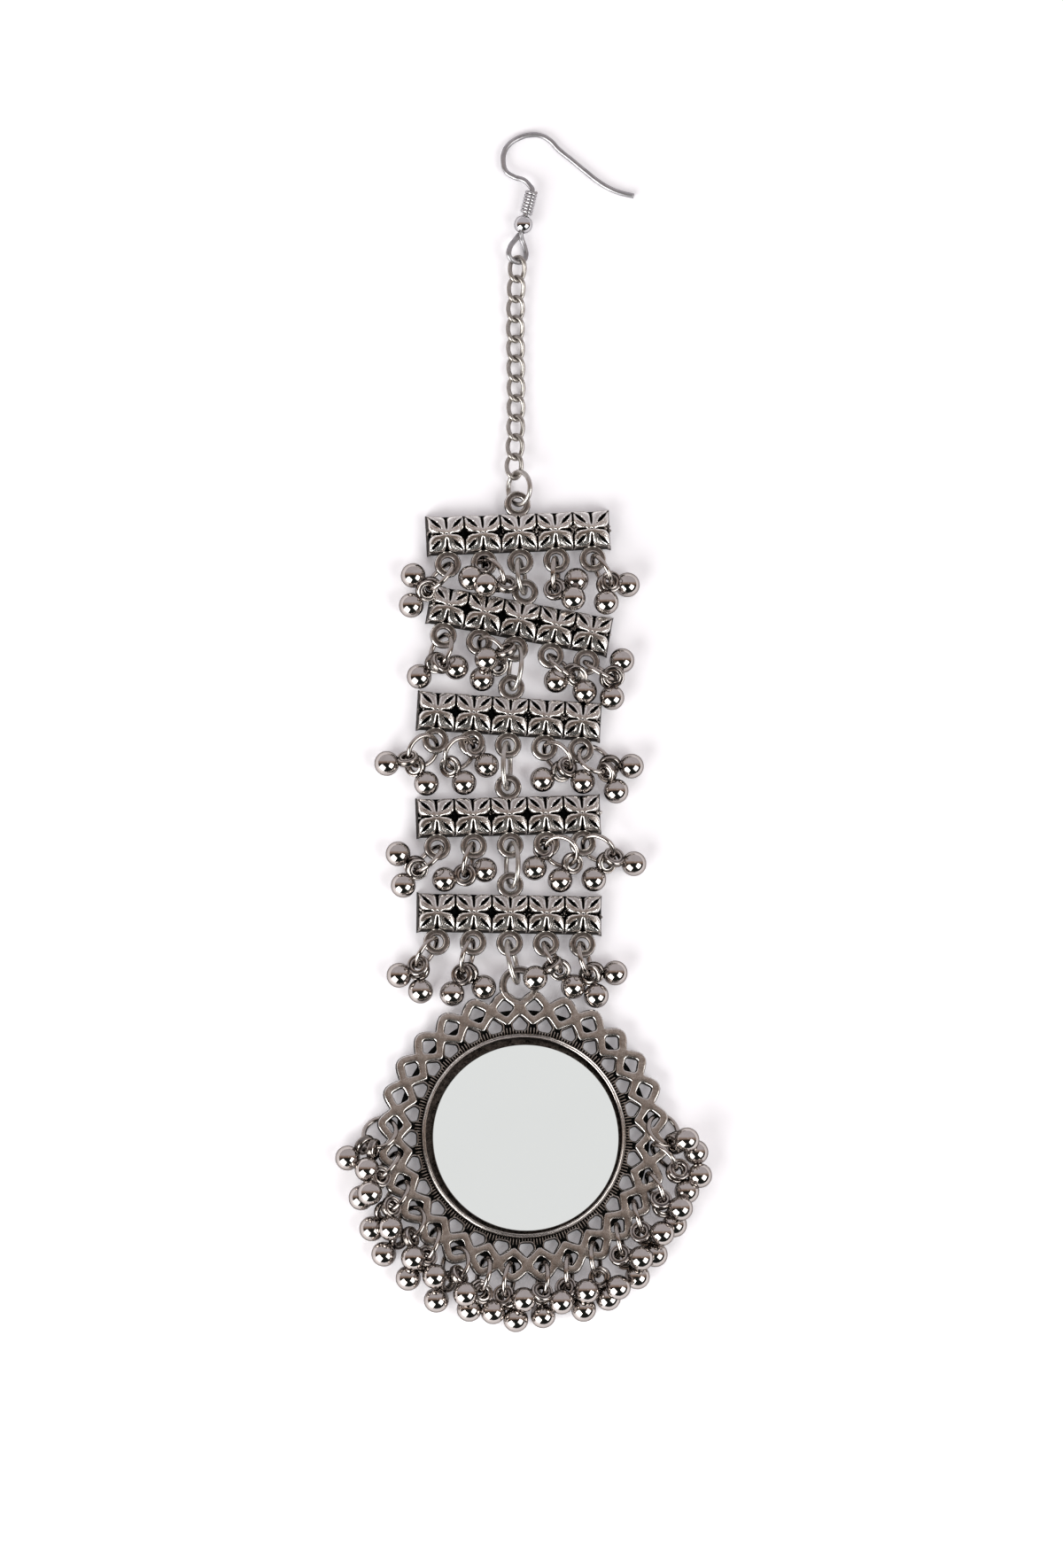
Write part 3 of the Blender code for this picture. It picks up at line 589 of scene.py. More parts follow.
def silver(name, dark, middle, bright, rough, grain, dents, edge):
    """Oxidised or plain silver: its colours in the recesses, on the faces and along worn edges."""
    material, tree, sockets, place = new_surface(name)
    sockets["Specular Tint"].default_value = (*edge, 1.0)
    wear = tree.node("ShaderNodeAttribute", attribute_name="wear")[2]
    cloud = tree.noise(place, grain, 5.0, 0.65)
    fine = tree.noise(place, grain * 4.5, 3.0)
    level = (wear + (cloud - 0.5) * 0.45 + (fine - 0.5) * 0.3).clamped()
    tree.feed(sockets["Base Color"], tree.ramp(level, ((0.12, dark), (0.5, middle), (0.92, bright))))
    roughness = (1 - level) * (rough[0] - rough[1]) + rough[1] + (cloud - 0.5) * 0.12
    tree.feed(sockets["Roughness"], roughness)
    bump = {"Strength": dents, "Distance": 0.05 * MM, "Height": cloud + fine * 0.5}
    tree.feed(sockets["Normal"], tree.node("ShaderNodeBump", bump)[0])
    return material


def glass_surface():
    """Flat mirror glass with a breath of dust."""
    material, tree, sockets, place = new_surface("mirror_glass")
    dust = tree.noise(place, 900.0, 4.0)
    haze = tree.noise(place, 60.0)
    wear = tree.node("ShaderNodeAttribute", attribute_name="wear")[2]
    tree.feed(sockets["Base Color"], tree.ramp((wear + (haze - 0.5) * 0.03).clamped(), GLASS_COLOURS))
    tree.feed(sockets["Roughness"], dust * 0.03 + 0.01)
    return material


# Shapes


def polar(radius, angle):
    """A point by its distance and direction from the frame's middle."""
    return (radius * math.cos(angle), radius * math.sin(angle))


def wheel(name, profile, sides, wobble=0.0):
    """A profile in rows of radius, height and wear, turned round the Z axis."""
    shell = Shell()
    rows = []
    noise = random.Random(3)
    shake = [noise.uniform(-wobble, wobble) for _ in range(sides)]
    for radius, height, level in profile:
        if radius == 0:
            rows.append(shell.row([(0, 0, height)], level) * sides)
        else:
            spokes = [radius + (shake[side] + shake[side - 1]) / 2 for side in range(sides)]
            points = [(*polar(spoke, math.tau * side / sides), height) for side, spoke in enumerate(spokes)]
            rows.append(shell.row(points, level))
    shell.skin(rows + rows[:1] if profile[0][0] > 0 else rows)
    return shell.mesh(name)


def cast_ring(name, across, hole, thick, section, sides=48, back_wear=0.5):
    """A cast ring with a given section, the same on its back but less worn."""
    inner, outer = hole / 2, across / 2
    front = [(inner + (outer - inner) * share, thick / 2 * rise, level) for share, rise, level in section]
    back = [(radius, -height, level * back_wear) for radius, height, level in reversed(front)]
    return wheel(name, front + back, sides)


def wire_mesh(name, points, wire, closed=False):
    """A smooth wire through points."""
    curve = bpy.data.curves.new(name, "CURVE")
    curve.dimensions = "3D"
    curve.resolution_u = 8
    curve.render_resolution_u = 0
    curve.bevel_depth = wire / 2
    curve.bevel_resolution = 3
    curve.use_fill_caps = True
    spline = curve.splines.new("BEZIER")
    spline.bezier_points.add(len(points) - 1)
    for knot, point in zip(spline.bezier_points, points):
        knot.co = point
        knot.handle_left_type = knot.handle_right_type = "AUTO"
    spline.use_cyclic_u = closed
    return welded(plain_mesh(placed(name, curve)))


# Flower bars


def leaf_shape(x, y):
    """How far inside a leaf's edge a point of the flower is, and its place along and across the leaf."""
    p, q = np.abs(x), np.abs(y)
    along, across = (p + q) / 2, (p - q) / 2
    reach = LEAF_HALF * np.sin(np.pi * np.clip(along, 0, 1) ** 0.85) ** 0.75
    reach = np.where(across < 0, reach * 1.1, reach * 0.97)
    return (reach - np.abs(across)) * LEAF_STEEP, along, across


def smooth(value, low, high):
    """A soft step from 0 to 1."""
    t = np.clip((value - low) / (high - low), 0, 1)
    return t * t * (3 - 2 * t)


def flower_height(x, y, seed):
    """The casting's height in millimetres over the table; x and y run from -1 to 1 over one flower."""
    half_x, half_y = FLOWER_PITCH / 2 / MM, BAR_ACROSS / 2 / MM
    inside, along, across = leaf_shape(x, y)
    out = np.hypot(x * half_x, y * half_y)
    dome = CREST_HEIGHT - CREST_FALL * (x * half_x) ** 2 - RIDGE_FALL * (y * half_y) ** 2
    face = dome - LEAF_EDGE_FALL * (1 - smooth(inside, -0.1, 0.6)) ** 2
    lens = np.sin(np.pi * np.clip((along - 0.3) / 0.6, 0, 1))
    slit_wide = SLIT_HALF * lens + 1e-6
    slit = np.exp(-(np.abs(across) / slit_wide) ** 4) * (lens > 0)
    lip = np.exp(-((np.abs(across) - slit_wide * 1.7) / LIP_WIDE) ** 2) * lens
    face = face + LIP_HIGH * lip - SLIT_DEEP * slit
    veins = np.sin(2 * np.pi * (along * VEINS_ALONG - np.abs(across) * VEINS_ACROSS))
    face = face + VEIN_HIGH * veins * smooth(inside, 0.1, 0.3) * smooth(along, 0.3, 0.45)
    axis = np.minimum(np.abs(x) * half_x, np.abs(y) * half_y)
    crease = np.exp(-(axis / (CREASE_WIDE + CREASE_WIDE * out)) ** 2) * smooth(out, 0.5, 1.2)
    face = face - CREASE_DEEP * crease
    seam = np.exp(-((1 - np.abs(x)) * half_x / SEAM_WIDE) ** 2)
    face = face - CREASE_DEEP * seam
    body = smooth(inside, -0.14, 0.02)
    body = np.maximum(body, 1 - smooth(out, 0.3, 0.6))
    noise = np.random.default_rng(seed).uniform(-1, 1, x.shape)
    floor = RECESS_HEIGHT + RECESS_GRAIN * noise
    height = floor + (face - floor) * body + FACE_GRAIN * noise
    shade = (1 - 0.95 * slit) * (1 - crease) * (1 - 0.9 * seam) * body
    return height, shade


def blurred(field, steps):
    """A height field averaged over a few neighbours."""
    total = field.copy()
    for _ in range(steps):
        padded = np.pad(total, 1, mode="edge")
        total = (padded[1:-1, 1:-1] * 2 + padded[:-2, 1:-1] + padded[2:, 1:-1]
                 + padded[1:-1, :-2] + padded[1:-1, 2:]) / 6
    return total


def flower_mesh(seed, tone):
    """One flower of a bar with the walls above and below it, open to its neighbours."""
    steps = np.linspace(-1, 1, FLOWER_GRID + 1)
    x, y = np.meshgrid(steps, steps)
    height, shade = flower_height(x, y, seed)
    # both sides meet the next flower at the same heights
    height[:, -1] = height[:, 0] = (height[:, 0] + height[:, -1]) / 2
    relief = np.clip((height - blurred(height, RELIEF_BLUR)) * RELIEF_SHARE, -RELIEF_MOST, RELIEF_MOST)
    wear = np.clip((tone + relief) * shade, 0, 1)
    wear *= smooth(height, RECESS_HEIGHT, RECESS_HEIGHT + 0.4)
    points = np.dstack((x * FLOWER_PITCH / 2, y * BAR_ACROSS / 2, height * MM)).tolist()
    shell = Shell()
    rows = [shell.row(line, levels) for line, levels in zip(points, wear)]
    below, above = [shell.row([(vert.co.x, vert.co.y, BAR_BACK) for vert in row], WALL_WEAR)
                    for row in (rows[0], rows[-1])]
    shell.skin([below, *rows, above, below], False)
    return mesh_of("flower", shell.bm)


def bar_recipe():
    """The tree that sets motifs in a row."""
    tree = Recipe("flower_row", motif="object", motifs=int, pitch=float, surface="material")
    give = tree.inputs
    start = give["pitch"] * (give["motifs"] * -0.5 + 0.5)
    first = tree.node("ShaderNodeCombineXYZ", {"X": start})[0]
    step = tree.node("ShaderNodeCombineXYZ", {"X": give["pitch"]})[0]
    line = {"Count": give["motifs"], "Start Location": first, "Offset": step}
    line = tree.node("GeometryNodeMeshLine", line, mode="OFFSET")[0]
    motif = tree.node("GeometryNodeObjectInfo", {"Object": give["motif"]})[4]
    tree.finish(tree.node("GeometryNodeInstanceOnPoints", {"Points": line, "Instance": motif})[0])
    return tree


def close_ends(bm):
    """Closes the two ends of a row of flowers."""
    for side in (-1, 1):
        end = [edge for edge in bm.edges if edge.is_boundary and edge.verts[0].co.x * side > 0]
        bmesh.ops.contextual_create(bm, geom=end)
    bmesh.ops.triangulate(bm, faces=[face for face in bm.faces if len(face.verts) > 4])


def settle_walls(mesh):
    """Rounds the bar's four upright corners and leans its walls outwards to the table."""
    half_x, half_y = FLOWERS * FLOWER_PITCH / 2, BAR_ACROSS / 2
    for vert in mesh.vertices:
        x, y, z = vert.co
        over_x = (abs(x) - half_x) / CORNER + 1
        over_y = (abs(y) - half_y) / CORNER + 1
        if over_x > 0 and over_y > 0:
            pull = CORNER * (max(over_x, over_y) / math.hypot(over_x, over_y) - 1)
            x += math.copysign(over_x * pull, x)
            y += math.copysign(over_y * pull, y)
        if z < LUG_HEIGHT / 2:
            x += END_FOOT * x / half_x
            y += WALL_FOOT * y / half_y
        vert.co = (x, y, z)


def crumb_heap(place, count, biggest, seed):
    """Grains of casting sand left between two flowers."""
    dice = random.Random(seed)
    heap = Shell()
    for _ in range(count):
        angle, reach = dice.uniform(0, math.tau), math.sqrt(dice.random())
        x = place * FLOWER_PITCH + CRUMBS_ALONG * reach * math.cos(angle)
        y = CRUMBS_ACROSS * reach * math.sin(angle)
        radius = dice.uniform(0.4, 1.0) * biggest * MM
        height = (RECESS_HEIGHT + 0.45 * dice.random() + 0.3 * (1 - reach)) * MM
        spot = Matrix.Translation((x, y, height)) @ Matrix.Rotation(angle, 4, "Z")
        spot = spot @ Matrix.Diagonal((1, 0.8, 1.1, 1))
        made = bmesh.ops.create_icosphere(heap.bm, subdivisions=2, radius=radius, matrix=spot)
        level = dice.uniform(0.2, 0.75)
        for vert in made["verts"]:
            vert[heap.layer] = level
    return mesh_of("crumbs", heap.bm)


def set_by_axes(place, *axes):
    """A matrix that lays X, Y and Z along three directions at a place."""
    return Matrix.Translation(place) @ Matrix(axes).transposed().to_4x4()


def flower_places():
    """The flowers' middles along a bar."""
    return [(index - (FLOWERS - 1) / 2) * FLOWER_PITCH for index in range(FLOWERS)]


def make_bars(below, rings, surface, ring_surface):
    """The bars from the mirror frame's loop upwards; gives the lugs' places and the last loop."""
    tree = bar_recipe()
    lugs = {}
    for number, (name, turn, distance, way, lean) in enumerate(BARS):
        lead = math.radians(90 + way)
        step = Vector((math.cos(lead), math.sin(lead), 0)) * distance * RING_ACROSS
        matrix = Matrix.Translation(below + step - UP * LUG_HEIGHT)
        matrix = matrix @ Matrix.Rotation(math.radians(turn), 4, "Z") @ Matrix.Translation((0, LUG_DROP, 0))
        flower = flower_mesh(number, LEAF_TONE[name])
        row = tree.copies(flower, motifs=FLOWERS, pitch=FLOWER_PITCH, surface=surface)
        settle_walls(welded(row, close_ends))
        parts = [row]
        parts += [crumb_heap(place, count, biggest, seed)
                  for seed, (bar, place, count, biggest) in enumerate(CRUMBS) if bar == name]
        for x, y in [(x, -LUG_DROP) for x in flower_places()] + [(0, LOOP_RISE)]:
            lug = cast_ring("lug", LUG_ACROSS, LUG_HOLE, LUG_THICK, FLAT_RING)
            lug.transform(Matrix.Translation((x, y, LUG_HEIGHT)))
            parts.append(lug)
        bar = joined(name, *parts)
        bar.transform(matrix)
        finished(name + "_casting", bar, surface, name, 40)
        lowest = number == 0
        joining_ring(rings, "frame_ring" if lowest else f"ring_under_{name}", below, below + step, lean,
                     FRAME_LOOP_PLAY if lowest else JOIN_PLAY / 2, ring_surface)
        for lug_number, x in enumerate(flower_places(), 1):
            lugs[name, lug_number] = matrix @ Vector((x, -LUG_DROP, LUG_HEIGHT))
        below = matrix @ Vector((0, LOOP_RISE, LUG_HEIGHT))
    return lugs, below


# Jump rings and ghungroo balls


def ring_recipe():
    """The tree that bends a wire into a ring in the XY plane."""
    tree = Recipe("jump_ring", across=float, wire=float, around=int, sides=int, surface="material")
    give = tree.inputs
    path = tree.node("GeometryNodeCurvePrimitiveCircle",
                     {"Resolution": give["around"], "Radius": (give["across"] - give["wire"]) * 0.5})[0]
    tree.finish_wire(path, give["sides"])
    return tree


class StandingRing:
    """A jump ring that stands on the table, leaning, and passes through a hole in a lug."""

    def __init__(self, hole, way, lean):
        self.across = RING_ACROSS
        self.radius = (RING_ACROSS - WIRE) / 2
        self.along = Vector((math.cos(way), math.sin(way), 0))
        aside = Vector((-math.sin(way), math.cos(way), 0))
        self.upright = UP * math.cos(lean) + aside * math.sin(lean)
        rise = self.radius * math.cos(lean)
        below = (rise + WIRE / 2 + TABLE_GAP - hole.z) / rise
        self.half_chord = self.radius * math.sqrt(1 - below * below)
        self.centre = hole + self.along * self.half_chord + self.upright * self.radius * below
        self.squash = 1.0

    def matrix(self):
        """Places a ring drawn in the XY plane."""
        facing = self.along.cross(self.upright)
        return set_by_axes(self.centre, self.along, self.upright * self.squash, facing)

    def nearest(self, point):
        """The wire's middle nearest to a point but clear of the table, and the wire's direction there."""
        spots = []
        for step in range(120):
            angle = math.tau * step / 120
            out = self.along * math.cos(angle) + self.upright * math.sin(angle)
            spot = self.centre + out * self.radius
            if spot.z >= EYELET_LOW:
                spots.append(((point - spot).length, step, spot,
                              self.upright * math.cos(angle) - self.along * math.sin(angle)))
        return min(spots)[2:]

    def mesh(self, tree, surface):
        """The ring's wire at its place."""
        made = tree.mesh("ring", across=self.across + WIRE_SEEN - WIRE, wire=WIRE_SEEN, around=40, sides=10,
                         surface=surface)
        made.transform(self.matrix())
        set_wear(made, RING_WEAR)
        return made


def joining_ring(tree, name, lower, upper, lean, lower_play, surface):
    """A jump ring between two holes, drawn nearly tight against both and a little oval."""
    span = upper - lower
    way = math.atan2(span.y, span.x)
    lean = math.radians(math.copysign(JOIN_LEAN, lean))
    drawn = (span.length - lower_play - JOIN_PLAY / 2) / 2
    start = lower + span.normalized() * lower_play
    ring = StandingRing(start, way, lean)
    middle_high = JOIN_HIGH + WIRE / 2 + TABLE_GAP
    above = middle_high - lower.z
    ring.radius = drawn / math.sqrt(1 - (above / JOIN_HIGH) ** 2)
    ring.across = 2 * ring.radius + WIRE
    ring.squash = JOIN_HIGH / math.cos(lean) / ring.radius
    ring.centre = start + ring.along * drawn + ring.upright * above / math.cos(lean)
    finished(name + "_wire", ring.mesh(tree, surface), surface, name)


def ghungroo_mesh():
    """A ball with its eyelet, hung from the eyelet's middle down the -Z axis."""
    profile = []
    for row in range(BALL_ROWS + 1):
        angle = -math.pi / 2 + math.pi * row / BALL_ROWS
        radius = 0 if row in (0, BALL_ROWS) else BALL / 2 * math.cos(angle)
        profile.append((radius, BALL / 2 * math.sin(angle), BALL_WEAR if row < BALL_ROWS - 2 else NECK_WEAR))
    ball = wheel("ball", profile, BALL_SIDES)
    ball.transform(Matrix.Translation((0, 0, -EYELET_REACH)))
    low, high = -EYELET_REACH + BALL / 2 - NECK_SUNK, -EYELET_ACROSS / 2 + NECK_INTO_EYELET
    neck = wheel("neck", [(0, low, 0.1), (NECK_FOOT, low, 0.1), (NECK_TOP, high, 0.3), (0, high, 0.3)], 16)
    eyelet = cast_ring("eyelet", EYELET_ACROSS, EYELET_HOLE, EYELET_THICK, RIDGED_RING, 32, 1.0)
    eyelet.transform(Matrix.Rotation(math.pi / 2, 4, "X"))
    return joined("ghungroo", ball, neck, eyelet)


def hang_matrix(ring, ball):
    """Places a ghungroo whose eyelet is threaded on a ring and whose ball lies at a point or close by."""
    wire, along_wire = ring.nearest(ball)
    down = (ball - wire).normalized()
    ball = wire + down * min(max((ball - wire).length, HANG_SHORT), HANG_LONG)
    ball.z = max(ball.z, BALL / 2 + TABLE_GAP)
    down = (ball - wire).normalized()
    eyelet = ball - down * EYELET_REACH
    for flat in (0.0, 0.25, 0.5, 0.75, 1.0):
        facing = along_wire.lerp(UP if along_wire.z > 0 else -UP, flat)
        across = (facing - down * facing.dot(down)).normalized()
        side = across.cross(down)
        low = eyelet.z - math.hypot(side.z, down.z) * EYELET_ACROSS / 2 - abs(across.z) * EYELET_THICK / 2
        if low > TABLE_GAP:
            break
    return set_by_axes(eyelet, side, across, -down)


def drop_pair(rings, ghungroo, name, hole, way, lean, balls, surface):
    """A jump ring in a lug with two balls on it."""
    ring = StandingRing(hole, math.radians(way), math.radians(lean))
    parts = [ring.mesh(rings, surface)]
    for x, y, lift in balls:
        made = ghungroo.copy()
        made.transform(hang_matrix(ring, Vector((x, y, BALL / 2 + TABLE_GAP + lift))))
        parts.append(made)
    finished(name + "_made", joined(name, *parts), surface, name, 60)


def make_bar_drops(lugs, rings, ghungroo, surface):
    """The balls on the bars' outer lugs."""
    for bar, lug, way, lean, *shares in BAR_DROPS:
        hole = lugs[bar, lug]
        balls = [(hole.x + right * BALL, hole.y + up * BALL, lift * BALL)
                 for right, up, lift in (shares[:3], shares[3:])]
        drop_pair(rings, ghungroo, f"{bar}_drops_{lug}", hole, way - 90, lean, balls, surface)


def make_frame_drops(rings, ghungroo, surface):
    """The fringe of balls round the lower half of the frame."""
    for index, (way, lean, *places) in enumerate(FRINGE):
        hole = Vector((*polar(DIAMOND_RADIUS, math.radians(FIRST_HOLE + index * 360 / DIAMONDS)), LUG_HEIGHT))
        balls = [(*polar(out * MM, math.radians(turn)), lift * BALL)
                 for out, turn, lift in (places[:3], places[3:])]
        drop_pair(rings, ghungroo, f"frame_drops_{index + 1:02d}", hole, way, lean, balls, surface)


# Mirror frame


def around(out, turn):
    """A point of a motif, from its distance in mm and its turn in half motifs."""
    return Vector(polar(out * MM, turn * HALF_MOTIF))


def both_halves(half):
    """A motif's outline from its first half, mirrored for the second."""
    return [around(out, turn) for out, turn in half] + [around(out, -turn) for out, turn in half[-2::-1]]


def rounded(corners, soft):
    """A closed outline of a motif whose corners are rounded off."""
    corners = [around(*corner) for corner in corners]
    outline = []
    for index, corner in enumerate(corners):
        before = corners[index - 1]
        after = corners[(index + 1) % len(corners)]
        start = corner + (before - corner).normalized() * soft
        end = corner + (after - corner).normalized() * soft
        for step in range(CORNER_STEPS + 1):
            t = step / CORNER_STEPS
            outline.append(start * (1 - t) ** 2 + corner * 2 * t * (1 - t) + end * t * t)
    return outline


def shrunk(outline, by, closed=True):
    """An outline moved to its left by a distance."""
    moved = []
    count = len(outline)
    for index, point in enumerate(outline):
        before = outline[index - 1] if closed or index else point
        after = outline[(index + 1) % count] if closed or index < count - 1 else point
        along = (after - before).normalized()
        moved.append(point + Vector((-along.y, along.x)) * by)
    return moved


def sector_mesh():
    """One of the frame's motifs: a diamond opening in a pointed lattice, over the ring of windows."""
    shell = Shell()
    tip = shell.edge(both_halves(LATTICE_TIP), LATTICE_EDGE, False)
    foot = shell.edge(both_halves(LATTICE_FOOT), LATTICE_EDGE, False)
    hole = shell.edge(rounded(DIAMOND_HOLE, DIAMOND_CORNER), LATTICE_EDGE)
    for level in (0, -1):
        shell.cap(tip[level] + foot[level], hole[level])
    return shell.mesh("sector")


def window_mesh():
    """One sector of the ring of windows, under the lattice, with the window's raised rim."""
    shell = Shell()
    hole = shell.edge(rounded(WINDOW_HOLE, WINDOW_CORNER), WINDOW_EDGE)
    openings = (hole[0], hole[-1])
    rim = [around(WINDOW_OUT, turn) for turn in WINDOW_TURNS]
    rim += [around(WINDOW_IN, -turn) for turn in WINDOW_TURNS]
    sheets = [shell.row([(point.x, point.y, opening[0].co.z) for point in rim], SHEET_WEAR)
              for opening in openings]
    count = len(WINDOW_TURNS)
    for wall in (slice(0, count), slice(count, None)):
        shell.skin([sheet[wall] for sheet in sheets], False)
    for sheet, opening in zip(sheets, openings):
        shell.cap(sheet, opening)
    return shell.mesh("window")


def rib_mesh(long):
    """A small raised bar with rounded shoulders, along the X axis."""
    shell = Shell()
    rows = []
    for x, narrow, drop in RIB_SHAPE:
        points = [(x * long, y * narrow * MM, (z - drop * (z > RIB_SHOULDER)) * MM)
                  for y, z, _ in RIB_SECTION]
        rows.append(shell.row(points, [level for _, _, level in RIB_SECTION]))
    shell.skin(rows)
    shell.bm.faces.new(rows[0])
    shell.bm.faces.new(rows[-1])
    return shell.mesh("rib")


def around_recipe():
    """The tree that repeats a motif round the frame's middle."""
    tree = Recipe("around_frame", motif="object", motifs=int, start=float, out=float, surface="material")
    give = tree.inputs
    index = tree.node("GeometryNodeInputIndex")[0]
    turn = (index * math.tau).math("DIVIDE", give["motifs"]) + give["start"]
    place = tree.node("ShaderNodeCombineXYZ",
                      {"X": turn.math("COSINE") * give["out"], "Y": turn.math("SINE") * give["out"]})[0]
    points = tree.node("GeometryNodePoints", {"Count": give["motifs"], "Position": place})[0]
    spin = tree.node("ShaderNodeCombineXYZ", {"Z": turn})[0]
    motif = tree.node("GeometryNodeObjectInfo", {"Object": give["motif"]})[4]
    tree.finish(tree.node("GeometryNodeInstanceOnPoints",
                          {"Points": points, "Instance": motif, "Rotation": spin})[0])
    return tree


def make_frame(surface):
    """The pierced frame: lattice, windows, ribs, bezel with its cup, and the loop."""
    tree = around_recipe()
    start = math.radians(90 + FRAME_TURN)

    def all_round(motif, turn, out=0.0):
        """A motif repeated round the frame."""
        return tree.copies(motif, motifs=DIAMONDS, start=start + HALF_MOTIF * turn, out=out, surface=surface)

    parts = [welded(all_round(sector_mesh(), 1)), welded(all_round(window_mesh(), 0))]
    parts += [all_round(rib_mesh(long * MM), turn, RIB_START) for long, turns in RIBS for turn in turns]
    bezel = [(radius * MM, height * MM, level) for radius, height, level in BEZEL]
    parts.append(wheel("cup", bezel, BEZEL_SIDES, BEZEL_WOBBLE))
    loop = cast_ring("loop", FRAME_LOOP_ACROSS, FRAME_LOOP_HOLE, FRAME_LOOP_THICK, FLAT_RING, 56)
    loop.transform(Matrix.Translation((*polar(FRAME_LOOP_REACH, start), LUG_HEIGHT)))
    finished("mirror_frame_casting", joined("frame", *parts, loop), surface, "mirror_frame", 40)


def make_mirror(surface):
    """The round glass with its ground edge."""
    radius = MIRROR_ACROSS / 2
    profile = [(0, MIRROR_LOW, 1.0), (radius, MIRROR_LOW, 0.3), (radius, MIRROR_TOP - GROUND_EDGE, 0.3),
               (radius - GROUND_EDGE, MIRROR_TOP, 1.0), (0, MIRROR_TOP, 1.0)]
    disc = wheel("disc", profile, 160)
    disc.transform(Matrix.Translation(MIRROR_SHIFT))
    finished("mirror_disc", disc, surface, "mirror", 20)


# Chain and hook


def link_mesh(middle, along):
    """One twisted curb link."""
    half_wide = (LINK_ACROSS - LINK_WIRE) / 2
    across = along.cross(UP).normalized()
    above = across.cross(along)
    route = []
    for step in range(LINK_POINTS):
        angle = math.tau * step / LINK_POINTS
        spot = middle + across * half_wide * math.cos(angle) + along * LINK_HALF_LONG * math.sin(angle)
        route.append(spot + above * LINK_TWIST * math.sin(2 * angle))
    return wire_mesh("link", route, LINK_WIRE_SEEN, True)


def make_chain(ring, surface):
    """The curb chain, from the ring up to the hook; gives the wire's middle at its last end."""
    held = WIRE / 2 + LINK_WIRE / 2 + CLEAR
    under = (LUG_HEIGHT - ring.centre.z) / ring.upright.z
    foot = ring.centre + ring.upright * under + ring.along * (math.sqrt(ring.radius ** 2 - under ** 2) - held)
    point = foot + ring.along * LINK_HALF_LONG
    middles = []
    for index in range(LINKS + 1):
        below, above = [max(0.0, 1 - count / LIFTED_LINKS) for count in (index, LINKS - 1 - index)]
        height = CHAIN_HEIGHT + (LUG_HEIGHT - CHAIN_HEIGHT) * below
        height += (STEM_HEIGHT - CHAIN_HEIGHT) * min(1.0, above)
        sway = CHAIN_SWAY * math.sin(index / LINKS * math.tau) + CHAIN_DRIFT * index / LINKS
        middles.append(Vector((point.x + sway, point.y + index * LINK_PITCH, height)))
    links = [link_mesh(middle, (after - middle).normalized()) for middle, after in zip(middles, middles[1:])]
    chain = joined("chain", *links)
    set_wear(chain, CHAIN_WEAR)
    finished("chain_links", chain, surface, "chain")
    return middles[LINKS - 1] + Vector((0, LINK_HALF_LONG, 0))


def coil_recipe():
    """The tree that winds a wire closely up the Z axis."""
    tree = Recipe("wire_coil", across=float, wire=float, long=float, turns=float, surface="material")
    give = tree.inputs
    radius = (give["across"] - give["wire"]) * 0.5
    winding = {"Resolution": 24, "Rotations": give["turns"], "Start Radius": radius, "End Radius": radius,
               "Height": give["long"] - give["wire"]}
    tree.finish_wire(tree.node("GeometryNodeCurveSpiral", winding)[0], 8)
    return tree


def make_hook(chain_end, surface):
    """The bent wire with its coil and bead."""
    foot = chain_end - Vector((0, HOOK_WIRE / 2 + LINK_WIRE / 2 + CLEAR, 0))
    turn = Matrix.Rotation(math.radians(HOOK_WAY), 4, "Z") @ Matrix.Rotation(math.radians(-90), 4, "X")
    axis = turn @ UP
    bead_at = foot + Vector((HOOK_BEAD[0] * MM, HOOK_BEAD[1] * MM, 0))
    bead_at.z = STEM_HEIGHT
    coil_at = bead_at + axis * (BEAD_ACROSS / 2 + CLEAR)
    route = [Vector((foot.x + x * MM, foot.y + y * MM, STEM_HEIGHT - LOOP_TILT * x * MM))
             for x, y in HOOK_LOOP]
    route += [bead_at - axis * (BEAD_ACROSS / 2 + CLEAR), coil_at + axis * (COIL_LONG + CLEAR)]
    low = HOOK_WIRE_SEEN / 2 + TABLE_GAP
    for index, (x, y) in enumerate(HOOK_CROOK, 1):
        height = low + (STEM_HEIGHT - low) * max(0.0, 1 - index / CROOK_SETTLED)
        route.append(Vector((foot.x + x * MM, foot.y + y * MM, height)))
    wire = wire_mesh("hook_wire", route, HOOK_WIRE_SEEN)
    set_wear(wire, HOOK_WEAR)
    finished("hair_hook_wire", wire, surface, "hair_hook")
    lean = math.acos((HOOK_WIRE / 2 + CLEAR) / (BEAD_ACROSS / 2))
    angles = [-lean + 2 * lean * row / BEAD_ROWS for row in range(BEAD_ROWS + 1)]
    bead = wheel("bead", [(*polar(BEAD_ACROSS / 2, angle), BEAD_WEAR) for angle in angles], BALL_SIDES)
    bead.transform(Matrix.Translation(bead_at) @ turn)
    finished("hook_bead_ball", bead, surface, "hook_bead")
    tree = coil_recipe()
    coil = tree.mesh("coil", across=COIL_ACROSS, wire=COIL_LONG / (COIL_TURNS + 0.6), long=COIL_LONG,
                     turns=float(COIL_TURNS), surface=surface)
    coil.transform(Matrix.Translation(coil_at + axis * COIL_START) @ turn)
    set_wear(coil, COIL_WEAR)
    finished("hook_coil_turns", coil, surface, "hook_coil")


# The studio


def lens_way():
    """The direction from the jewel to the lens."""
    tilt_y, tilt_x = (math.radians(angle) for angle in LENS_TILT)
    return Vector((math.tan(tilt_x), -math.tan(tilt_y), 1)).normalized()


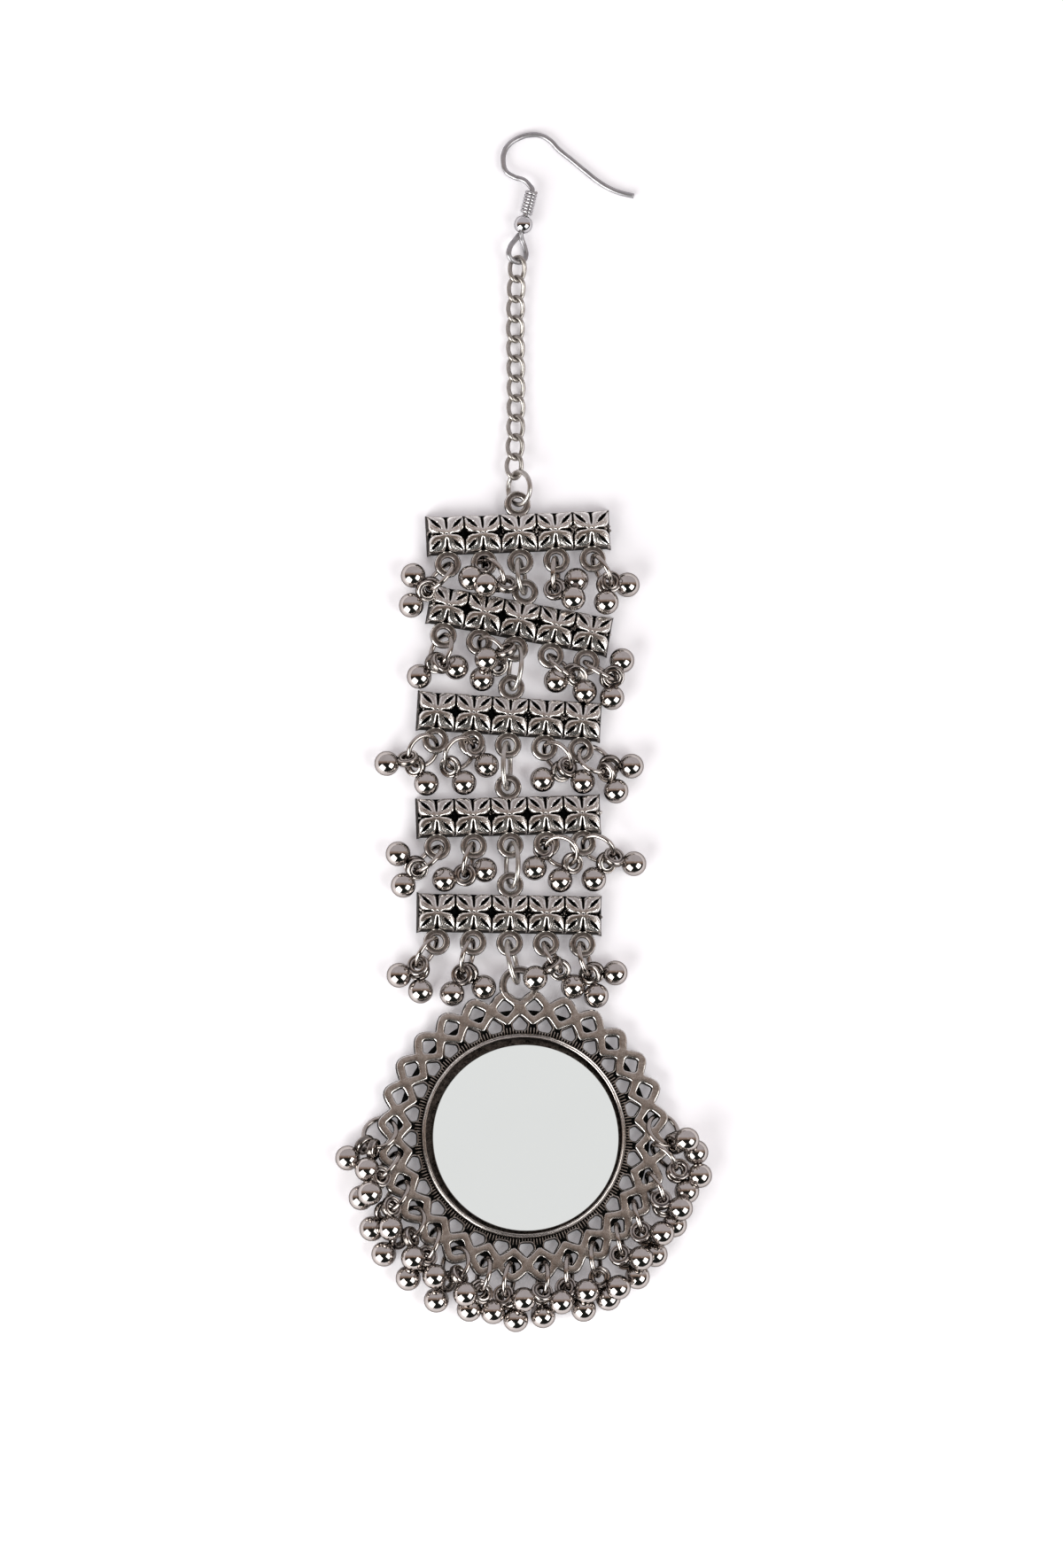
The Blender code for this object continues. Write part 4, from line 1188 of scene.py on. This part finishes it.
def make_camera():
    """The camera at the photograph's angle: high above, a little to the left and below."""
    camera = bpy.data.cameras.new("camera")
    camera.sensor_fit = "VERTICAL"
    camera.sensor_height = SENSOR_HIGH
    camera.lens = SENSOR_HIGH * LENS_AWAY / PICTURE_HIGH
    camera.clip_start = 0.01
    holder = placed("camera", camera)
    away = lens_way()
    right = FORWARD.cross(away).normalized()
    spot = Vector(PICTURE_MIDDLE) + away * LENS_AWAY
    holder.matrix_world = set_by_axes(spot, right, away.cross(right), away)
    bpy.context.scene.camera = holder


def make_floor():
    """A plain white table that glows a little: painted light that lifts the shadows cast on it."""
    bm = bmesh.new()
    bmesh.ops.create_grid(bm, x_segments=1, y_segments=1, size=TABLE_HALF)
    mesh = mesh_of("floor", bm)
    material, tree, sockets, place = new_surface("white_table", 0.0)
    tree.feed(sockets["Base Color"], tree.ramp(tree.noise(place, 3.0), TABLE_COLOURS))
    sockets["Roughness"].default_value = 0.55
    # painted light: an even glow over the whole table, which lightens the shadows on it
    sockets["Emission Color"].default_value = GLOW_COLOUR
    sockets["Emission Strength"].default_value = TABLE_GLOW
    mesh.materials.append(material)
    placed("floor", mesh)


def soft_box(name, azimuth, elevation, wide, long, away, radiance):
    """A soft light that faces the jewel."""
    light = bpy.data.lights.new(name, "AREA")
    light.shape = "RECTANGLE"
    light.size, light.size_y = wide, long
    light.energy = radiance * math.pi * wide * long
    a, e = math.radians(azimuth), math.radians(elevation)
    way = Vector((math.cos(a) * math.cos(e), math.sin(a) * math.cos(e), math.sin(e)))
    facing = way.to_track_quat("Z", "Y").to_matrix().to_4x4()
    placed(name, light).matrix_world = Matrix.Translation(Vector(PICTURE_MIDDLE) + way * away) @ facing


def make_light():
    """A room with a pale wall beyond the hook and a white card for the mirror, and two soft boxes."""
    world = bpy.data.worlds.new("studio")
    bpy.context.scene.world = world
    world.use_nodes = True
    tree = Tree(world.node_tree)
    way = tree.node("ShaderNodeTexCoord")[0]
    parts = tree.node("ShaderNodeSeparateXYZ", {"Vector": way})
    room = tree.ramp(parts[1] * 0.5 + 0.5, ROOM)
    away = lens_way()
    mirrored = (-away.x, -away.y, away.z)
    facing = tree.node("ShaderNodeVectorMath", {0: way, 1: mirrored}, operation="DOT_PRODUCT")[1]
    card = facing.math("GREATER_THAN", math.cos(math.radians(CARD_HALF)))
    colour = tree.node("ShaderNodeMix", {0: card, 6: room, 7: CARD_COLOUR}, data_type="RGBA")[2]
    background = world.node_tree.nodes["Background"]
    tree.feed(background.inputs["Color"], colour)
    background.inputs["Strength"].default_value = 1.0
    for box in SOFT_BOXES:
        soft_box(*box)


def main():
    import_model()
    make_camera()
    make_floor()
    make_light()
    oxidised, satin, polished, bright = [silver(*look) for look in SILVERS]
    make_frame(oxidised)
    make_mirror(glass_surface())
    rings = ring_recipe()
    ghungroo = ghungroo_mesh()
    make_frame_drops(rings, ghungroo, polished)
    frame_hole = Vector((*polar(FRAME_LOOP_REACH, math.radians(90 + FRAME_TURN)), LUG_HEIGHT))
    lugs, top_loop = make_bars(frame_hole, rings, oxidised, satin)
    make_bar_drops(lugs, rings, ghungroo, polished)
    ring = StandingRing(top_loop, math.radians(CHAIN_RING_WAY), math.radians(CHAIN_RING_LEAN))
    finished("chain_ring_wire", ring.mesh(rings, satin), satin, "chain_ring")
    make_hook(make_chain(ring, satin), bright)
    bpy.context.scene.view_settings.view_transform = "Standard"


main()
